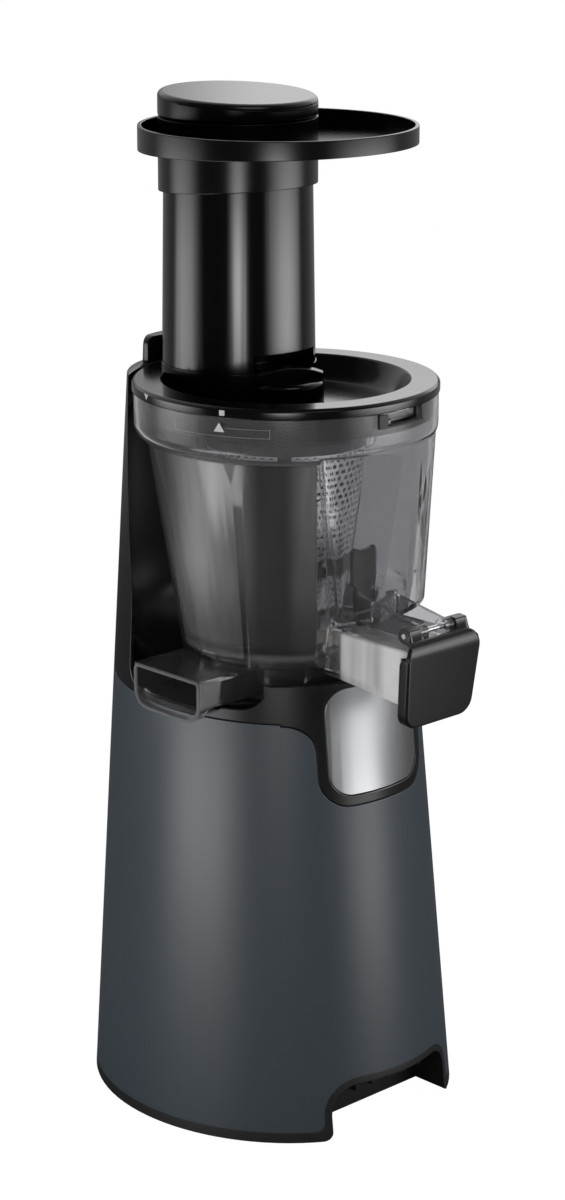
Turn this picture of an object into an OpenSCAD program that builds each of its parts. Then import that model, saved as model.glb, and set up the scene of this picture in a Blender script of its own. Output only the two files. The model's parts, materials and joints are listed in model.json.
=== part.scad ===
// Cold press juicer: a tapered base with motor and gearbox, a lift-off juicing bowl with
// auger, strainer and wiping brush, and a bayonet lid that carries the feed tube, tray and pusher.
// Frame: +Z up, the floor at z = 0, the bowl axis at x = y = 0, the juice spout towards -Y
// and the pulp spout towards -X. All lengths are in millimetres.

/* [Body shell] */
// Half width of the body at the floor, side to side
base_half_x = 96.9; // [92:0.1:105]
// Half length of the body at the floor, front to back
base_half_y = 106.9; // [100:0.1:115]
// How far the body is centred behind the bowl axis at the floor
base_shift = 11.3; // [8:0.1:16]
// Half width of the body at the tower top
top_half_x = 69.1; // [66:0.1:74]
// Half length of the body at the tower top
top_half_y = 76.2; // [73:0.1:80]
// How far the body is centred behind the bowl axis at the tower top
top_shift = 20; // [18:0.1:24]
// How far the tower's flat top stands above the bowl's rim
tower_rise = 5; // [3:0.5:10]
// Wall of the moulded housings
shell_wall = 2.6; // [2:0.1:3.2]
// Height of the seam between the lower and upper housing, at the bowl axis
seam_height = 236.5; // [225:0.5:260]
// Upward slope of that seam towards the rear, in degrees
seam_tilt = 2.5; // [0:0.1:3]
// Gap between housings that meet at a seam
seam_gap = 0.2; // [0.1:0.05:0.4]
// Depth of the tower cap, from its seam to the tower's flat top
cap_depth = 17; // [14:0.5:24]

/* [Front plate and tongue] */
// Half width of the black tongue around the steel plate
tongue_half = 39; // [36:0.5:44]
// How far the tongue hangs below the seam, at the bowl axis
tongue_drop = 49.5; // [44:0.5:58]
// Corner radius at the foot of the tongue
tongue_corner = 17; // [12:0.5:20]
// Radius where the tongue flares into the deck
tongue_flare = 14; // [8:0.5:16]
// Width of the black margin around the steel plate
plate_margin = 6; // [4:0.5:8]
// Corner radius of the steel plate
plate_corner = 13; // [8:0.5:16]
// Thickness of the steel plate
plate_t = 1.2; // [0.8:0.1:1.6]

/* [Base cover and arch] */
// Gap between the floor and the base cover
floor_gap = 1; // [0.8:0.1:2]
// Height of the black band round the foot of the body
band_top = 6.8; // [5:0.1:10]
// Thickness of the floor of the base cover
cover_t = 2.8; // [2:0.1:4]
// Half width of the open arch at the front
arch_half = 44; // [38:0.5:46]
// Height of the arch's crown
arch_top = 31.5; // [26:0.5:36]
// Rounding at the foot of the arch's legs
leg_round = 5; // [3:0.5:6]
// Corner radius of the arch
arch_corner = 16; // [10:0.5:18]
// Wall of the arch's lining
arch_lining = 3.8; // [3:0.1:5]
// How far the arch reaches in, measured at the bowl axis
arch_back = 58; // [50:0.5:64]
// Number of louvre fins at the back of the arch
fin_count = 7; // [5:1:9]
// Radius of a rubber foot
foot_r = 10; // [8:0.5:12]

/* [Deck and tower] */
// Height of the floor of the bowl's well above the seam
well_rise = 3.5; // [2.5:0.1:4.5]
// Gap between the foot of the bowl's cone and its well
well_gap = 2.5; // [1:0.1:5]
// Gap between the lid ring and the tower's hollow
hollow_gap = 2.5; // [1.6:0.1:4]
// Height above the seam at which the deck starts to curve up
deck_rise = 15; // [13.5:0.1:17.5]
// Half width of the raised block at the back of the tower cap
block_half = 23; // [18:0.5:28]
// Height of that block above the tower's flat top
block_rise = 14; // [8:0.5:18]

/* [Motor and gearbox] */
// How far the motor axis lies behind the bowl axis
motor_y = 15; // [14:0.1:16]
// Outer radius of the stator
stator_r = 45; // [40:0.5:50]
// Height of the stator stack
stator_h = 50; // [40:1:60]
// Radius of the rotor
rotor_r = 26; // [22:0.5:28]
// Air gap between rotor and stator
air_gap = 0.6; // [0.4:0.1:1]
// Depth of the gearbox's underside below the floor of the well
gearbox_drop = 52; // [50:0.5:54]
// Outer radius of the gearbox
gearbox_r = 61; // [60:0.5:63]
// Wall of the gearbox
gearbox_wall = 3; // [2.5:0.1:3.5]
// Module of the first gear pair
stage1_module = 0.8; // [0.8:0.05:0.8]
// Module of the second gear pair
stage2_module = 1; // [1:0.05:1]
// Radius of the round part of the drive shaft
shaft_r = 7.5; // [7:0.1:8]
// Width across the flats of the drive shaft's hexagon
hex_flats = 12; // [11:0.1:12.4]
// Height of the drive shaft's tip above the floor of the well
shaft_rise = 50; // [40:0.5:60]

/* [Juicing bowl] */
// Running gap between the bowl and the well floor
bowl_gap = 0.3; // [0.2:0.05:0.6]
// Outer radius of the bowl's foot
bowl_foot_r = 52; // [50:0.5:54]
// Outer radius of the bowl's cone at its lower edge
cone_low_r = 56; // [54:0.1:57]
// Outer radius of the bowl's cone under the shoulder
cone_top_r = 74.5; // [72:0.1:76]
// Outer radius of the bowl's rim band
rim_r = 82.3; // [81:0.1:83]
// Height of the bowl's rim above the floor of the well
bowl_height = 161; // [150:0.5:175]
// Depth of the shoulder under the rim band
shoulder_drop = 17; // [15:0.5:21]
// Wall of the bowl
bowl_wall = 2.5; // [2:0.1:3]
// Height of the bowl's inner floor above the floor of the well
bowl_floor_rise = 20; // [19:0.1:21]
// Radius of the wide juice chamber at its floor
chamber_low_r = 76; // [74:0.5:78]
// Height of the juice chamber's floor above the bowl's inner floor
chamber_rise = 26.5; // [25:0.5:32]
// Direction in which the juice chamber starts, in degrees
chamber_from = -117.5; // [-122:0.5:-112]
// Angle that the juice chamber spans
chamber_span = 140; // [120:1:145]
// Half width of the juice spout
juice_half = 22; // [20:0.5:24]
// Height of the juice spout's roof above the bowl's inner floor
juice_room = 24; // [20:0.5:25]
// Drop of the juice spout's floor from the bowl to the mouth
juice_drop = 7; // [4:0.5:8]
// Half width of the pulp spout
pulp_half = 26; // [22:0.5:27]
// Height of the pulp spout's roof above the floor of the well
pulp_room = 20; // [19:0.5:22]
// Reach of the pulp spout from the bowl axis
pulp_reach = 88.5; // [86:0.5:96]
// Room beside the pulp spout in the notch of the deck
notch_side = 18; // [8:0.5:20]

/* [Spout cap] */
// Height of the cap's hinge above the juice spout's roof
hinge_rise = 5.5; // [5:0.5:7]
// Distance of the cap's hinge from the bowl axis
hinge_y = 110; // [104:0.5:112]
// How far the juice spout's mouth lies beyond the hinge
mouth_out = 7; // [6:0.5:8]
// Radius of the hinge pin
hinge_pin_r = 1.5; // [1.2:0.1:1.8]
// Lean of the closed cap, in degrees
cap_lean = 6; // [0:0.5:8]
// How far the cap reaches past each side of the juice spout
cap_margin = 5.7; // [4.5:0.1:7]
// How far the cap reaches below the juice spout
cap_below = 10.3; // [7:0.1:12]

/* [Strainer, brush and auger] */
// Height of the strainer's floor above the bowl's inner floor
strainer_rise = 11; // [10.8:0.1:12]
// Outer radius of the strainer at its floor
strainer_low_r = 29.3; // [28.5:0.1:29.6]
// Outer radius of the strainer at its top
strainer_top_r = 45.3; // [44:0.1:46]
// Gap between the strainer's top and the lid's sunken floor
strainer_room = 10; // [9:0.5:14]
// Wall of the strainer's frame
strainer_wall = 1.8; // [1.4:0.1:2.2]
// Thickness of the steel screen
screen_t = 0.5; // [0.4:0.1:0.8]
// Number of slots across each window of the screen
slot_columns = 6; // [4:1:8]
// Gap between the strainer and the turning brush
brush_gap = 1.5; // [1:0.1:2]
// Module of the brush gears
brush_module = 1.5; // [1.5:0.1:1.5]
// Gap between the auger's flights and the screen
auger_gap = 0.8; // [0.5:0.1:1.2]
// Turns of each flight round the auger
flight_turns = 0.75; // [0.5:0.05:1.2]
// Radius of the auger's upper journal
journal_r = 6; // [5:0.1:6.5]

/* [Lid, tray and pusher] */
// How far the lid ring stands out past the bowl's rim band
lid_over = 0.7; // [0.2:0.1:1.7]
// Height of the lid ring above the bowl's rim
lid_rise = 6; // [4:0.1:7]
// Radius of the opening inside the lid ring
lid_open_r = 66.5; // [64:0.5:68]
// Depth of the lid's sunken floor below the bowl's rim
dish_drop = 7; // [6:0.1:8]
// Thickness of the lid's mouldings
lid_wall = 2.5; // [2:0.1:3]
// Turn of the bayonet, in degrees
bayonet_turn = 18; // [12:1:24]
// How far the feed tube is centred behind the bowl axis
tube_y = 36.9; // [36:0.1:38]
// Outer radius of the feed tube at the lid
tube_low_r = 41.9; // [41.5:0.1:42.2]
// Outer radius of the feed tube at its mouth
tube_top_r = 40; // [39.5:0.1:41]
// Wall of the feed tube
tube_wall = 2.2; // [1.8:0.1:2.4]
// Height of the lid's socket for the feed tube above the lid ring
socket_rise = 4.5; // [3:0.1:6]
// Height of the feed tube above that socket
tube_height = 119.5; // [100:0.5:130]
// Radius of the knob on the lid
knob_r = 20.7; // [20:0.1:21]
// Height of the knob's drum
knob_h = 12; // [10:0.5:14]
// Height of the niche for the hand over the knob
niche_room = 14.5; // [9:0.5:18]
// Radius of the feed tray
tray_r = 74.4; // [70:0.2:78]
// How far the tray is centred behind the bowl axis
tray_y = 5.8; // [3:0.2:8]
// Height of the tray's rim above the feed tube's mouth
tray_rise = 11; // [8:0.5:12]
// Depth of the tray's wall
tray_depth = 11.6; // [9:0.1:13]
// Slope of the tray's floor towards the chute, in degrees
tray_tilt = 2; // [0:0.5:3]
// Height of the top of the pusher above the tray's rim
pusher_rise = 14; // [10:0.5:18]
// Height of the pusher's head
head_h = 12; // [10:0.5:16]
// Slope of the pusher's top, in degrees
head_tilt = 3; // [0:0.5:4]
// Length of the pusher below its head
pusher_length = 108; // [90:1:118]
// Sliding gap round the pusher
pusher_gap = 0.5; // [0.3:0.1:1]

/* [Switch and inlet] */
// Height of the rocker switch
switch_z = 120; // [100:1:140]
// Half width of the rocker
rocker_half = 9; // [7:0.5:10]
// Half height of the rocker
rocker_tall = 14; // [12:0.5:16]
// Height of the cord inlet
inlet_z = 32; // [28:1:40]
// Outer radius of the cord inlet's bush
inlet_r = 8; // [7:0.5:10]
// Bore radius of the cord inlet's bush
inlet_bore = 3.6; // [3:0.1:4]
// How far the cord inlet's collar stands out of the body
inlet_out = 4.3; // [3:0.1:8]

/* [Hidden] */
$fn = 64;
body_sides = 96;       // sides of the body's oval
reach = 300;           // larger than any part, for cutting tools
seat = 0.3;            // rest gap between a lifted-off part and its seat
run = 0.05;            // radial gap of a running fit
mould_gap = 0.4;       // gap round a part that turns or slides in a moulding

black = [0.05, 0.05, 0.055];
slate = [0.21, 0.25, 0.28];
smoke = [0.3, 0.3, 0.31, 0.5];
steel = [0.75, 0.76, 0.77];
silicone = [0.2, 0.2, 0.21];

// ---- heights and radii that stack up from those above ----
well_floor = seam_height + well_rise;
deck_z = seam_height + deck_rise;
tongue_bottom = seam_height - tongue_drop;
gearbox_floor = well_floor - gearbox_drop;
shaft_top = well_floor + shaft_rise;
bowl_floor = well_floor + bowl_floor_rise;
chamber_floor = bowl_floor + chamber_rise;
juice_top = bowl_floor + juice_room;
pulp_top = well_floor + pulp_room;
hinge_z = juice_top + hinge_rise;
rim_top = well_floor + bowl_height;
shoulder_z = rim_top - shoulder_drop;
tower_top = rim_top + tower_rise;
cap_seam = tower_top - cap_depth;
block_top = tower_top + block_rise;
lid_top = rim_top + lid_rise;
dish_floor = rim_top - dish_drop;
strainer_z = bowl_floor + strainer_rise;
strainer_top = dish_floor - strainer_room;
tube_seam = lid_top + socket_rise;
tube_top = tube_seam + tube_height;
tray_top = tube_top + tray_rise;
pusher_top = tray_top + pusher_rise;
well_r = cone_low_r + well_gap;
lid_r = rim_r + lid_over;
hollow_r = lid_r + hollow_gap;
notch_half = pulp_half + notch_side;
cap_half = juice_half + cap_margin;

// ---- body shell ----
function along(z) = z / tower_top;
function half_x(z) = base_half_x + (top_half_x - base_half_x) * along(z);
function half_y(z) = base_half_y + (top_half_y - base_half_y) * along(z);
function shift_y(z) = base_shift + (top_shift - base_shift) * along(z);
function rear_y(z) = shift_y(z) + half_y(z);
function front_y(z) = shift_y(z) - half_y(z);
function oval(z, inset) = [
  for (i = [0:body_sides - 1]) let (a = 360 * i / body_sides)
    [(half_x(z) - inset) * cos(a), shift_y(z) + (half_y(z) - inset) * sin(a), z]
];

// A slice of the tapered, leaning oval body between two heights
module body_form(z0, z1, inset = 0) {
  n = body_sides;
  sides = [for (i = [0:n - 1]) let (j = (i + 1) % n) each [[i, n + i, n + j], [i, n + j, j]]];
  polyhedron(
    points = concat(oval(z0, inset), oval(z1, inset)),
    faces = concat([[for (i = [0:n - 1]) i]], [[for (i = [n - 1:-1:0]) n + i]], sides)
  );
}

function arc(cx, cy, r, a0, a1, steps = 8) =
  [for (i = [0:steps]) let (a = a0 + (a1 - a0) * i / steps) [cx + r * cos(a), cy + r * sin(a)]];

// Height of the housing seam at the front face
seam_front = seam_height + sin(seam_tilt) * front_y(seam_height);

// The tongue below the seam, as an outline in x and height below the seam
function tongue_outline(g) = let (w = tongue_half + g, d = seam_front - tongue_bottom + g,
    r = tongue_corner + g, f = tongue_flare) concat(
  [[-w - f, 5]],
  arc(-w - f, -f - g, f, 90, 0),
  arc(-w + r, -d + r, r, 180, 270),
  arc(w - r, -d + r, r, 270, 360),
  arc(w + f, -f - g, f, 180, 90),
  [[w + f, 5]]
);

// Everything that belongs to the upper housing, grown by g
module above_seam(g = 0) {
  translate([0, 0, seam_height - g]) rotate([seam_tilt, 0, 0])
    translate([-reach, -reach, 0]) cube([2 * reach, 2 * reach, reach]);
  translate([0, -arch_back / 2, seam_front]) rotate([90, 0, 0])
    linear_extrude(reach) polygon(tongue_outline(g));
}

// Profile of the hollow that the bowl sits in, grown by g
module hollow(g = 0) {
  curve_r = hollow_r - well_r;
  rotate_extrude($fn = 96) polygon(concat(
    [[0, well_floor - g], [well_r + g, well_floor - g]],
    arc(well_r, deck_z + curve_r, curve_r + g, -90 + asin(g / (curve_r + g)), 0, 10),
    [[hollow_r + g, reach * 2], [0, reach * 2]]
  ));
}

// Section of the pulp spout in y and z: flat roof, upright sides, floor bowed by bow, grown by g
pulp_low = well_floor + 0.6;
pulp_side = 3.6;
lip_bow = 9;
function pulp_section(g, bow) = let (w = pulp_half + g, s = pulp_low + pulp_side) concat(
  [[-w, pulp_top + g], [-w, s]],
  [for (i = [1:11]) let (y = -w + 2 * w * i / 12) [y, s - (bow + g) * sqrt(max(0, 1 - pow(y / w, 4)))]],
  [[w, s], [w, pulp_top + g]]
);

// A prism of that section from x0 outwards to x1 on the -X side
module pulp_prism(x0, x1, g = 0, bow = pulp_side) {
  translate([-x1, 0, 0]) rotate([90, 0, 90]) linear_extrude(x1 - x0) polygon(pulp_section(g, bow));
}

// The notch that the deck has around the pulp spout
notch_low = well_floor + 2;
notch_corner = 11;
module pulp_notch() translate([-reach, 0, 0]) rotate([90, 0, 90]) linear_extrude(reach - well_r + 10)
  polygon(rounded(notch_half, notch_low, reach, notch_corner));

function rounded(w, z0, z1, r) = concat(
  arc(w - r, z0 + r, r, -90, 0), arc(w - r, z1 - r, r, 0, 90),
  arc(-w + r, z1 - r, r, 90, 180), arc(-w + r, z0 + r, r, 180, 270)
);

plate_half = tongue_half - plate_margin;
plate_bottom = tongue_bottom + plate_margin;
plate_top = deck_z;

module front_prism(outline) {
  translate([0, -arch_back / 2, 0]) rotate([90, 0, 0]) linear_extrude(reach) polygon(outline);
}

module plate_recess(g)
  front_prism(rounded(plate_half + g, plate_bottom - g, plate_top + g, plate_corner + g));

// The arch, grown by g, with legs rounded off above height foot
module arch_prism(g, foot) front_prism(concat(
  [[arch_half + g + leg_round, -reach / 2]],
  arc(arch_half + g + leg_round, foot + leg_round, leg_round, 270, 180, 5),
  arc(arch_half - arch_corner, arch_top - arch_corner, arch_corner + g, 0, 90),
  arc(-arch_half + arch_corner, arch_top - arch_corner, arch_corner + g, 90, 180),
  arc(-arch_half - g - leg_round, foot + leg_round, leg_round, 0, -90, 5),
  [[-arch_half - g - leg_round, -reach / 2]]
));
module arch_room() translate([-reach, -reach, 0]) cube([2 * reach, reach - arch_back + arch_lining, reach]);

// Opening for the rocker switch through the rear wall
bezel_rim = 3;
module switch_cut(g, depth) {
  translate([0, rear_y(switch_z) + 1, switch_z]) rotate([90, 0, 0]) linear_extrude(depth)
    polygon(rounded(rocker_half + g, -rocker_tall - g, rocker_tall + g, 1.5));
}

module inlet_axis() translate([0, rear_y(inlet_z), inlet_z]) rotate([90, 0, 0]) children();

module lower_housing() color(slate) difference() {
  body_form(band_top, seam_height + 8);
  body_form(band_top - 1, seam_height + 9, shell_wall);
  above_seam(seam_gap);
  arch_prism(arch_lining, band_top);
  switch_cut(0.3, shell_wall * 6);
  translate([0, rear_y(inlet_z) + 1, inlet_z]) rotate([90, 0, 0])
    cylinder(r = inlet_r, h = shell_wall * 6);
}

module upper_housing() color(black) difference() {
  union() {
    difference() {
      intersection() {
        body_form(tongue_bottom - 5, cap_seam);
        above_seam();
      }
      difference() {
        body_form(tongue_bottom - 6, cap_seam - shell_wall, shell_wall);
        hollow(shell_wall);
      }
    }
    for (p = box_bolts) translate([p.x, p.y, cover_z + cover_h]) cylinder(r = boss_r, h = boss_h);
  }
  hollow();
  for (p = box_bolts) translate([p.x, p.y, cover_z]) cylinder(r = screw_r, h = screw_grip + cover_h);
  pulp_prism(well_r - 10, reach, 1);
  pulp_notch();
  translate([0, 0, well_floor - 2 * shell_wall]) cylinder(r = seal_r, h = 4 * shell_wall);
  intersection() {
    plate_recess(0.3);
    body_form(tongue_bottom - 5, cap_seam, -5);
    difference() {
      body_form(tongue_bottom - 6, cap_seam, -6);
      body_form(tongue_bottom - 7, cap_seam, plate_t + 0.5);
    }
  }
}

module front_plate() color(steel) intersection() {
  plate_recess(0);
  difference() {
    body_form(tongue_bottom - 5, cap_seam, 0.4);
    body_form(tongue_bottom - 6, cap_seam, plate_t + 0.4);
  }
}

module tower_cap() color(black) difference() {
  union() {
    body_form(cap_seam, tower_top);
    intersection() {
      body_form(cap_seam, block_top, 1.2);
      translate([0, hollow_r + 0.2, 0]) rotate([-90, 0, 0]) linear_extrude(reach)
        mirror([0, 1]) polygon(rounded(block_half, cap_seam, block_top, 5));
    }
  }
  hollow();
  difference() {
    body_form(cap_seam - 1, tower_top - shell_wall, shell_wall);
    hollow(shell_wall);
  }
}

fin_t = 2.2;
fin_depth = 12;
fin_pitch = 2 * arch_half / fin_count;
vent_w = 28;
vent_pitch = 8;
vent_t = 3.5;
cover_floor = floor_gap + cover_t;
foot_spigot = foot_r - 2;
module base_cover() color(black) difference() {
  union() {
    body_form(floor_gap, band_top);
    intersection() {
      body_form(floor_gap, arch_top + arch_lining + 1);
      arch_prism(arch_lining, band_top);
      arch_room();
    }
  }
  difference() {
    body_form(cover_floor, band_top + 1, 2 * shell_wall);
    intersection() {
      arch_prism(arch_lining, band_top);
      arch_room();
    }
  }
  difference() {
    arch_prism(0, floor_gap);
    translate([-reach, -arch_back, -1]) cube([2 * reach, reach, reach]);
    for (i = [0:fin_count - 1])
      translate([(i - (fin_count - 1) / 2) * fin_pitch - fin_t / 2, -arch_back - fin_depth, arch_top / 2])
        cube([fin_t, fin_depth + 1, arch_top]);
  }
  for (side = [-1, 1], i = [0:6])
    translate([side * 45 - vent_w / 2, 20 + vent_pitch * i, 0]) cube([vent_w, vent_t, cover_floor + 5]);
  for (p = feet) translate([p.x, p.y, -1]) cylinder(r = foot_spigot, h = floor_gap + 2);
}

feet_x = 62;
feet = [[-feet_x, 78], [feet_x, 78], [-feet_x - 10, -28], [feet_x + 10, -28]];
module rubber_feet() color(silicone) for (p = feet) translate([p.x, p.y, 0]) {
  cylinder(r = foot_r, h = floor_gap);
  cylinder(r = foot_spigot, h = floor_gap + 1);
}

module switch_bezel() color(black) difference() {
  intersection() {
    switch_cut(bezel_rim, shell_wall + 9);
    translate([0, 0.8, 0]) body_form(switch_z - 30, switch_z + 30);
    union() {
      difference() {
        translate([0, 0.8, 0]) body_form(switch_z - 30, switch_z + 30);
        body_form(switch_z - 31, switch_z + 31);
      }
      switch_cut(0.1, shell_wall + 9);
    }
  }
  switch_cut(-1.6, shell_wall + 20);
}

rocker_y = rear_y(switch_z) - 5;
rocker_w = rocker_half - 2.1;
module rocker_switch() color([0.08, 0.08, 0.085]) intersection() {
  translate([-rocker_w, rocker_y, switch_z]) rotate([0, 90, 0])
    cylinder(r = rocker_tall - 2.3, h = 2 * rocker_w);
  translate([-reach, rocker_y - 4, switch_z - 2 * rocker_tall])
    cube([2 * reach, 11, 4 * rocker_tall]);
}

module cord_inlet() color(black) inlet_axis() difference() {
  union() {
    translate([0, 0, -3]) cylinder(r = inlet_r - 0.2, h = shell_wall + 8);
    translate([0, 0, -inlet_out]) cylinder(r = inlet_r - 2, h = inlet_out);
    translate([0, 0, shell_wall + 2.6]) cylinder(r = inlet_r + 2.5, h = 2.4);
  }
  translate([0, 0, -inlet_out - 1]) cylinder(r = inlet_bore, h = 30);
}

// The electrics stand on the floor of the base cover, under the motor and beside it
board_x = base_half_x - 38.9;
board_t = 1.6;
board_l = 56;
board_h = 62;
module control_board() color([0.1, 0.32, 0.18]) {
  translate([board_x, -18, cover_floor]) cube([board_t, board_l, board_h]);
  translate([board_x + board_t, -8, cover_floor + 18]) cube([9, 16, 20]);
  translate([board_x + board_t, 16, cover_floor + 26]) cube([7, 12, 26]);
}

can_r = 15;
can_x = base_half_x - 44.9;
tab_h = 6;
can_gap = 6.2;         // between the capacitor's tabs and the motor
module run_capacitor() color([0.8, 0.8, 0.78]) translate([-can_x, 8, cover_floor]) {
  can_h = lower_bell_z - can_gap - tab_h - cover_floor;
  cylinder(r = can_r, h = can_h);
  for (s = [-1, 1]) translate([s * 6 - 2, -0.4, can_h]) cube([4, 0.8, tab_h]);
}

// The switch that senses the lid, behind the tower's hollow
module lid_microswitch() color([0.12, 0.12, 0.13]) {
  translate([-10, hollow_r + shell_wall + 0.1, cap_seam]) cube([20, 5, 9]);
}

// ---- gears ----
function inv(a) = tan(a) * 180 / PI - a;
// Half angle of an involute tooth at radius r, for n teeth of module m
function flank(n, m, r, slack) = let (pitch = n * m / 2, base = pitch * cos(20), q = max(r, base))
  90 / n + inv(20) - inv(acos(base / q)) - slack / r * 90 / PI;
function turned(r, a) = [r * cos(a), r * sin(a)];
// Outline of an external gear, or of the spaces of an internal one
function gear_outline(n, m, add, ded, slack) = let (p = n * m / 2,
    radii = [p - ded * m, p - 0.45 * ded * m, p, p + 0.55 * add * m, p + add * m])
  [for (t = [0:n - 1]) each concat(
    [for (i = [0:4]) turned(radii[i], 360 * t / n - flank(n, m, radii[i], slack))],
    [for (i = [4:-1:0]) turned(radii[i], 360 * t / n + flank(n, m, radii[i], slack))])];
module gear(n, m, h, turn = 0, slack = 0.12, add = 0.85)
  rotate([0, 0, turn]) linear_extrude(h) polygon(gear_outline(n, m, add, 1.15, slack));

// Turn of gear b so that it meshes with gear a, seen from a in direction dir
function mesh_turn(na, turn_a, nb, dir) = let (phase = (dir - turn_a) * na / 360)
  dir + 180 - (0.5 - phase) * 360 / nb;

motor_teeth = 12;
wheel_teeth = 60;
small_teeth = 14;
output_teeth = 70;
stage1_gap = (motor_teeth + wheel_teeth) / 2 * stage1_module;
stage2_gap = (small_teeth + output_teeth) / 2 * stage2_module;
// The countershaft stands at both centre distances
counter_y = (stage2_gap * stage2_gap - stage1_gap * stage1_gap + motor_y * motor_y) / (2 * motor_y);
counter_x = sqrt(stage2_gap * stage2_gap - counter_y * counter_y);
counter_dir = atan2(counter_y, counter_x);
motor_dir = atan2(motor_y - counter_y, -counter_x);
output_turn = counter_dir;
small_turn = mesh_turn(output_teeth, output_turn, small_teeth, counter_dir);
wheel_turn = motor_dir;
pinion_turn = mesh_turn(wheel_teeth, wheel_turn, motor_teeth, motor_dir);

gear_gap = 3;          // under the first gear pair and between the two pairs
gearbox_h = 40;
stage1_z = gearbox_floor + gearbox_wall + gear_gap;
stage1_h = 9;
stage2_z = stage1_z + stage1_h + gear_gap;
stage2_h = 13;
cover_z = gearbox_floor + gearbox_h;
cover_h = 4;
gearbox_x = counter_x / 2;
gearbox_y = counter_y / 2;
box_bolts = [for (a = [20, 110, 160, 300]) [gearbox_x, gearbox_y] + turned(gearbox_r - 4, a)];
screw_r = 2;
screw_grip = 4;
boss_r = 5;
boss_h = 26;           // reaches the deck wherever a boss stands
seal_r = shaft_r + 4;
counter_r = 4;
bearing_h = 6;

module gearbox_case() color([0.16, 0.16, 0.17]) difference() {
  translate([gearbox_x, gearbox_y, gearbox_floor]) cylinder(r = gearbox_r, h = gearbox_h, $fn = 96);
  difference() {
    translate([gearbox_x, gearbox_y, gearbox_floor + gearbox_wall])
      cylinder(r = gearbox_r - gearbox_wall, h = reach, $fn = 96);
    for (p = box_bolts) translate([p.x, p.y, gearbox_floor]) cylinder(r = boss_r, h = gearbox_h);
    translate([0, 0, gearbox_floor]) cylinder(r = shaft_r + 2.5, h = gearbox_wall + 1);
    translate([counter_x, counter_y, gearbox_floor]) cylinder(r = counter_r + 3, h = gearbox_wall + 2);
  }
  for (p = box_bolts) translate([p.x, p.y, gearbox_floor - 1]) cylinder(r = screw_r + 0.1, h = reach);
  translate([0, 0, gearbox_floor + 1]) cylinder(r = shaft_r - 1.5 + run, h = reach);
  translate([counter_x, counter_y, gearbox_floor + 1]) cylinder(r = counter_r, h = reach);
  translate([0, motor_y, gearbox_floor - 1]) cylinder(r = motor_shaft_r + 4, h = gearbox_wall + 2);
  translate([0, motor_y, gearbox_floor - 1]) motor_bolt_row() cylinder(r = bolt_r, h = 3);
}

module gearbox_cover() color([0.18, 0.18, 0.19]) difference() {
  union() {
    translate([gearbox_x, gearbox_y, cover_z]) cylinder(r = gearbox_r, h = cover_h, $fn = 96);
    translate([counter_x, counter_y, cover_z - 2]) cylinder(r = counter_r + 3, h = 3);
  }
  translate([0, 0, cover_z - 1]) cylinder(r = bearing_r, h = cover_h + 2);
  translate([counter_x, counter_y, cover_z - 3]) cylinder(r = counter_r, h = cover_h);
  for (p = box_bolts) translate([p.x, p.y, cover_z - 1]) cylinder(r = screw_r + 0.1, h = cover_h + 2);
}

// Screws that hang the gearbox from the bosses under the deck
module gearbox_screws() color(steel) for (p = box_bolts) translate([p.x, p.y, gearbox_floor]) {
  cylinder(r = screw_r, h = cover_z + cover_h + screw_grip - gearbox_floor);
  translate([0, 0, -head_t]) cylinder(r = bolt_head_r, h = head_t);
}

module output_gear() color([0.85, 0.83, 0.76]) difference() {
  union() {
    translate([0, 0, stage2_z]) gear(output_teeth, stage2_module, stage2_h, output_turn);
    translate([0, 0, stage2_z - 1]) cylinder(r = shaft_r + 5, h = stage2_h + 4);
  }
  translate([0, 0, stage2_z - 2]) cylinder(r = shaft_r, h = stage2_h + 8);
  for (i = [0:5]) rotate([0, 0, 60 * i]) translate([23, 0, stage2_z - 1]) cylinder(r = 5, h = stage2_h + 2);
}

hex_from = well_floor + 3.5;
module hexagon(flats, h) cylinder(r = flats / 2 / cos(30), h = h, $fn = 6);
module drive_shaft() color(steel) union() {
  translate([0, 0, gearbox_floor + 1.3]) cylinder(r = shaft_r - 1.5, h = stage2_z - gearbox_floor);
  translate([0, 0, stage2_z - 1]) cylinder(r = shaft_r, h = hex_from - stage2_z + 1);
  translate([0, 0, hex_from - 0.5]) hexagon(hex_flats, shaft_top - 2 - hex_from + 0.5);
  translate([0, 0, shaft_top - 2]) intersection() {
    hexagon(hex_flats, 2);
    cylinder(r1 = hex_flats / 2 + 0.9, r2 = hex_flats / 2 - 1, h = 2);
  }
}

bearing_r = shaft_r + 6.5;
module shaft_bearings() color([0.6, 0.6, 0.62]) translate([0, 0, cover_z - 1]) difference() {
  cylinder(r = bearing_r, h = bearing_h);
  translate([0, 0, -1]) cylinder(r = shaft_r + run, h = bearing_h + 2);
}

module shaft_seal() color(silicone) translate([0, 0, well_floor - shell_wall]) difference() {
  cylinder(r = seal_r, h = shell_wall + 0.1);
  translate([0, 0, -1]) cylinder(r = shaft_r + run, h = shell_wall + 3);
}

module countershaft() color(steel) translate([counter_x, counter_y, gearbox_floor + 1])
  cylinder(r = counter_r, h = gearbox_h);

module countershaft_gears() color([0.86, 0.84, 0.78]) translate([counter_x, counter_y, 0]) difference() {
  union() {
    translate([0, 0, stage1_z]) gear(wheel_teeth, stage1_module, stage1_h, wheel_turn);
    translate([0, 0, stage1_z + stage1_h - 0.5]) gear(small_teeth, stage2_module, stage2_h + 4, small_turn);
  }
  translate([0, 0, stage1_z - 1]) cylinder(r = counter_r + run, h = reach);
}

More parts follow.
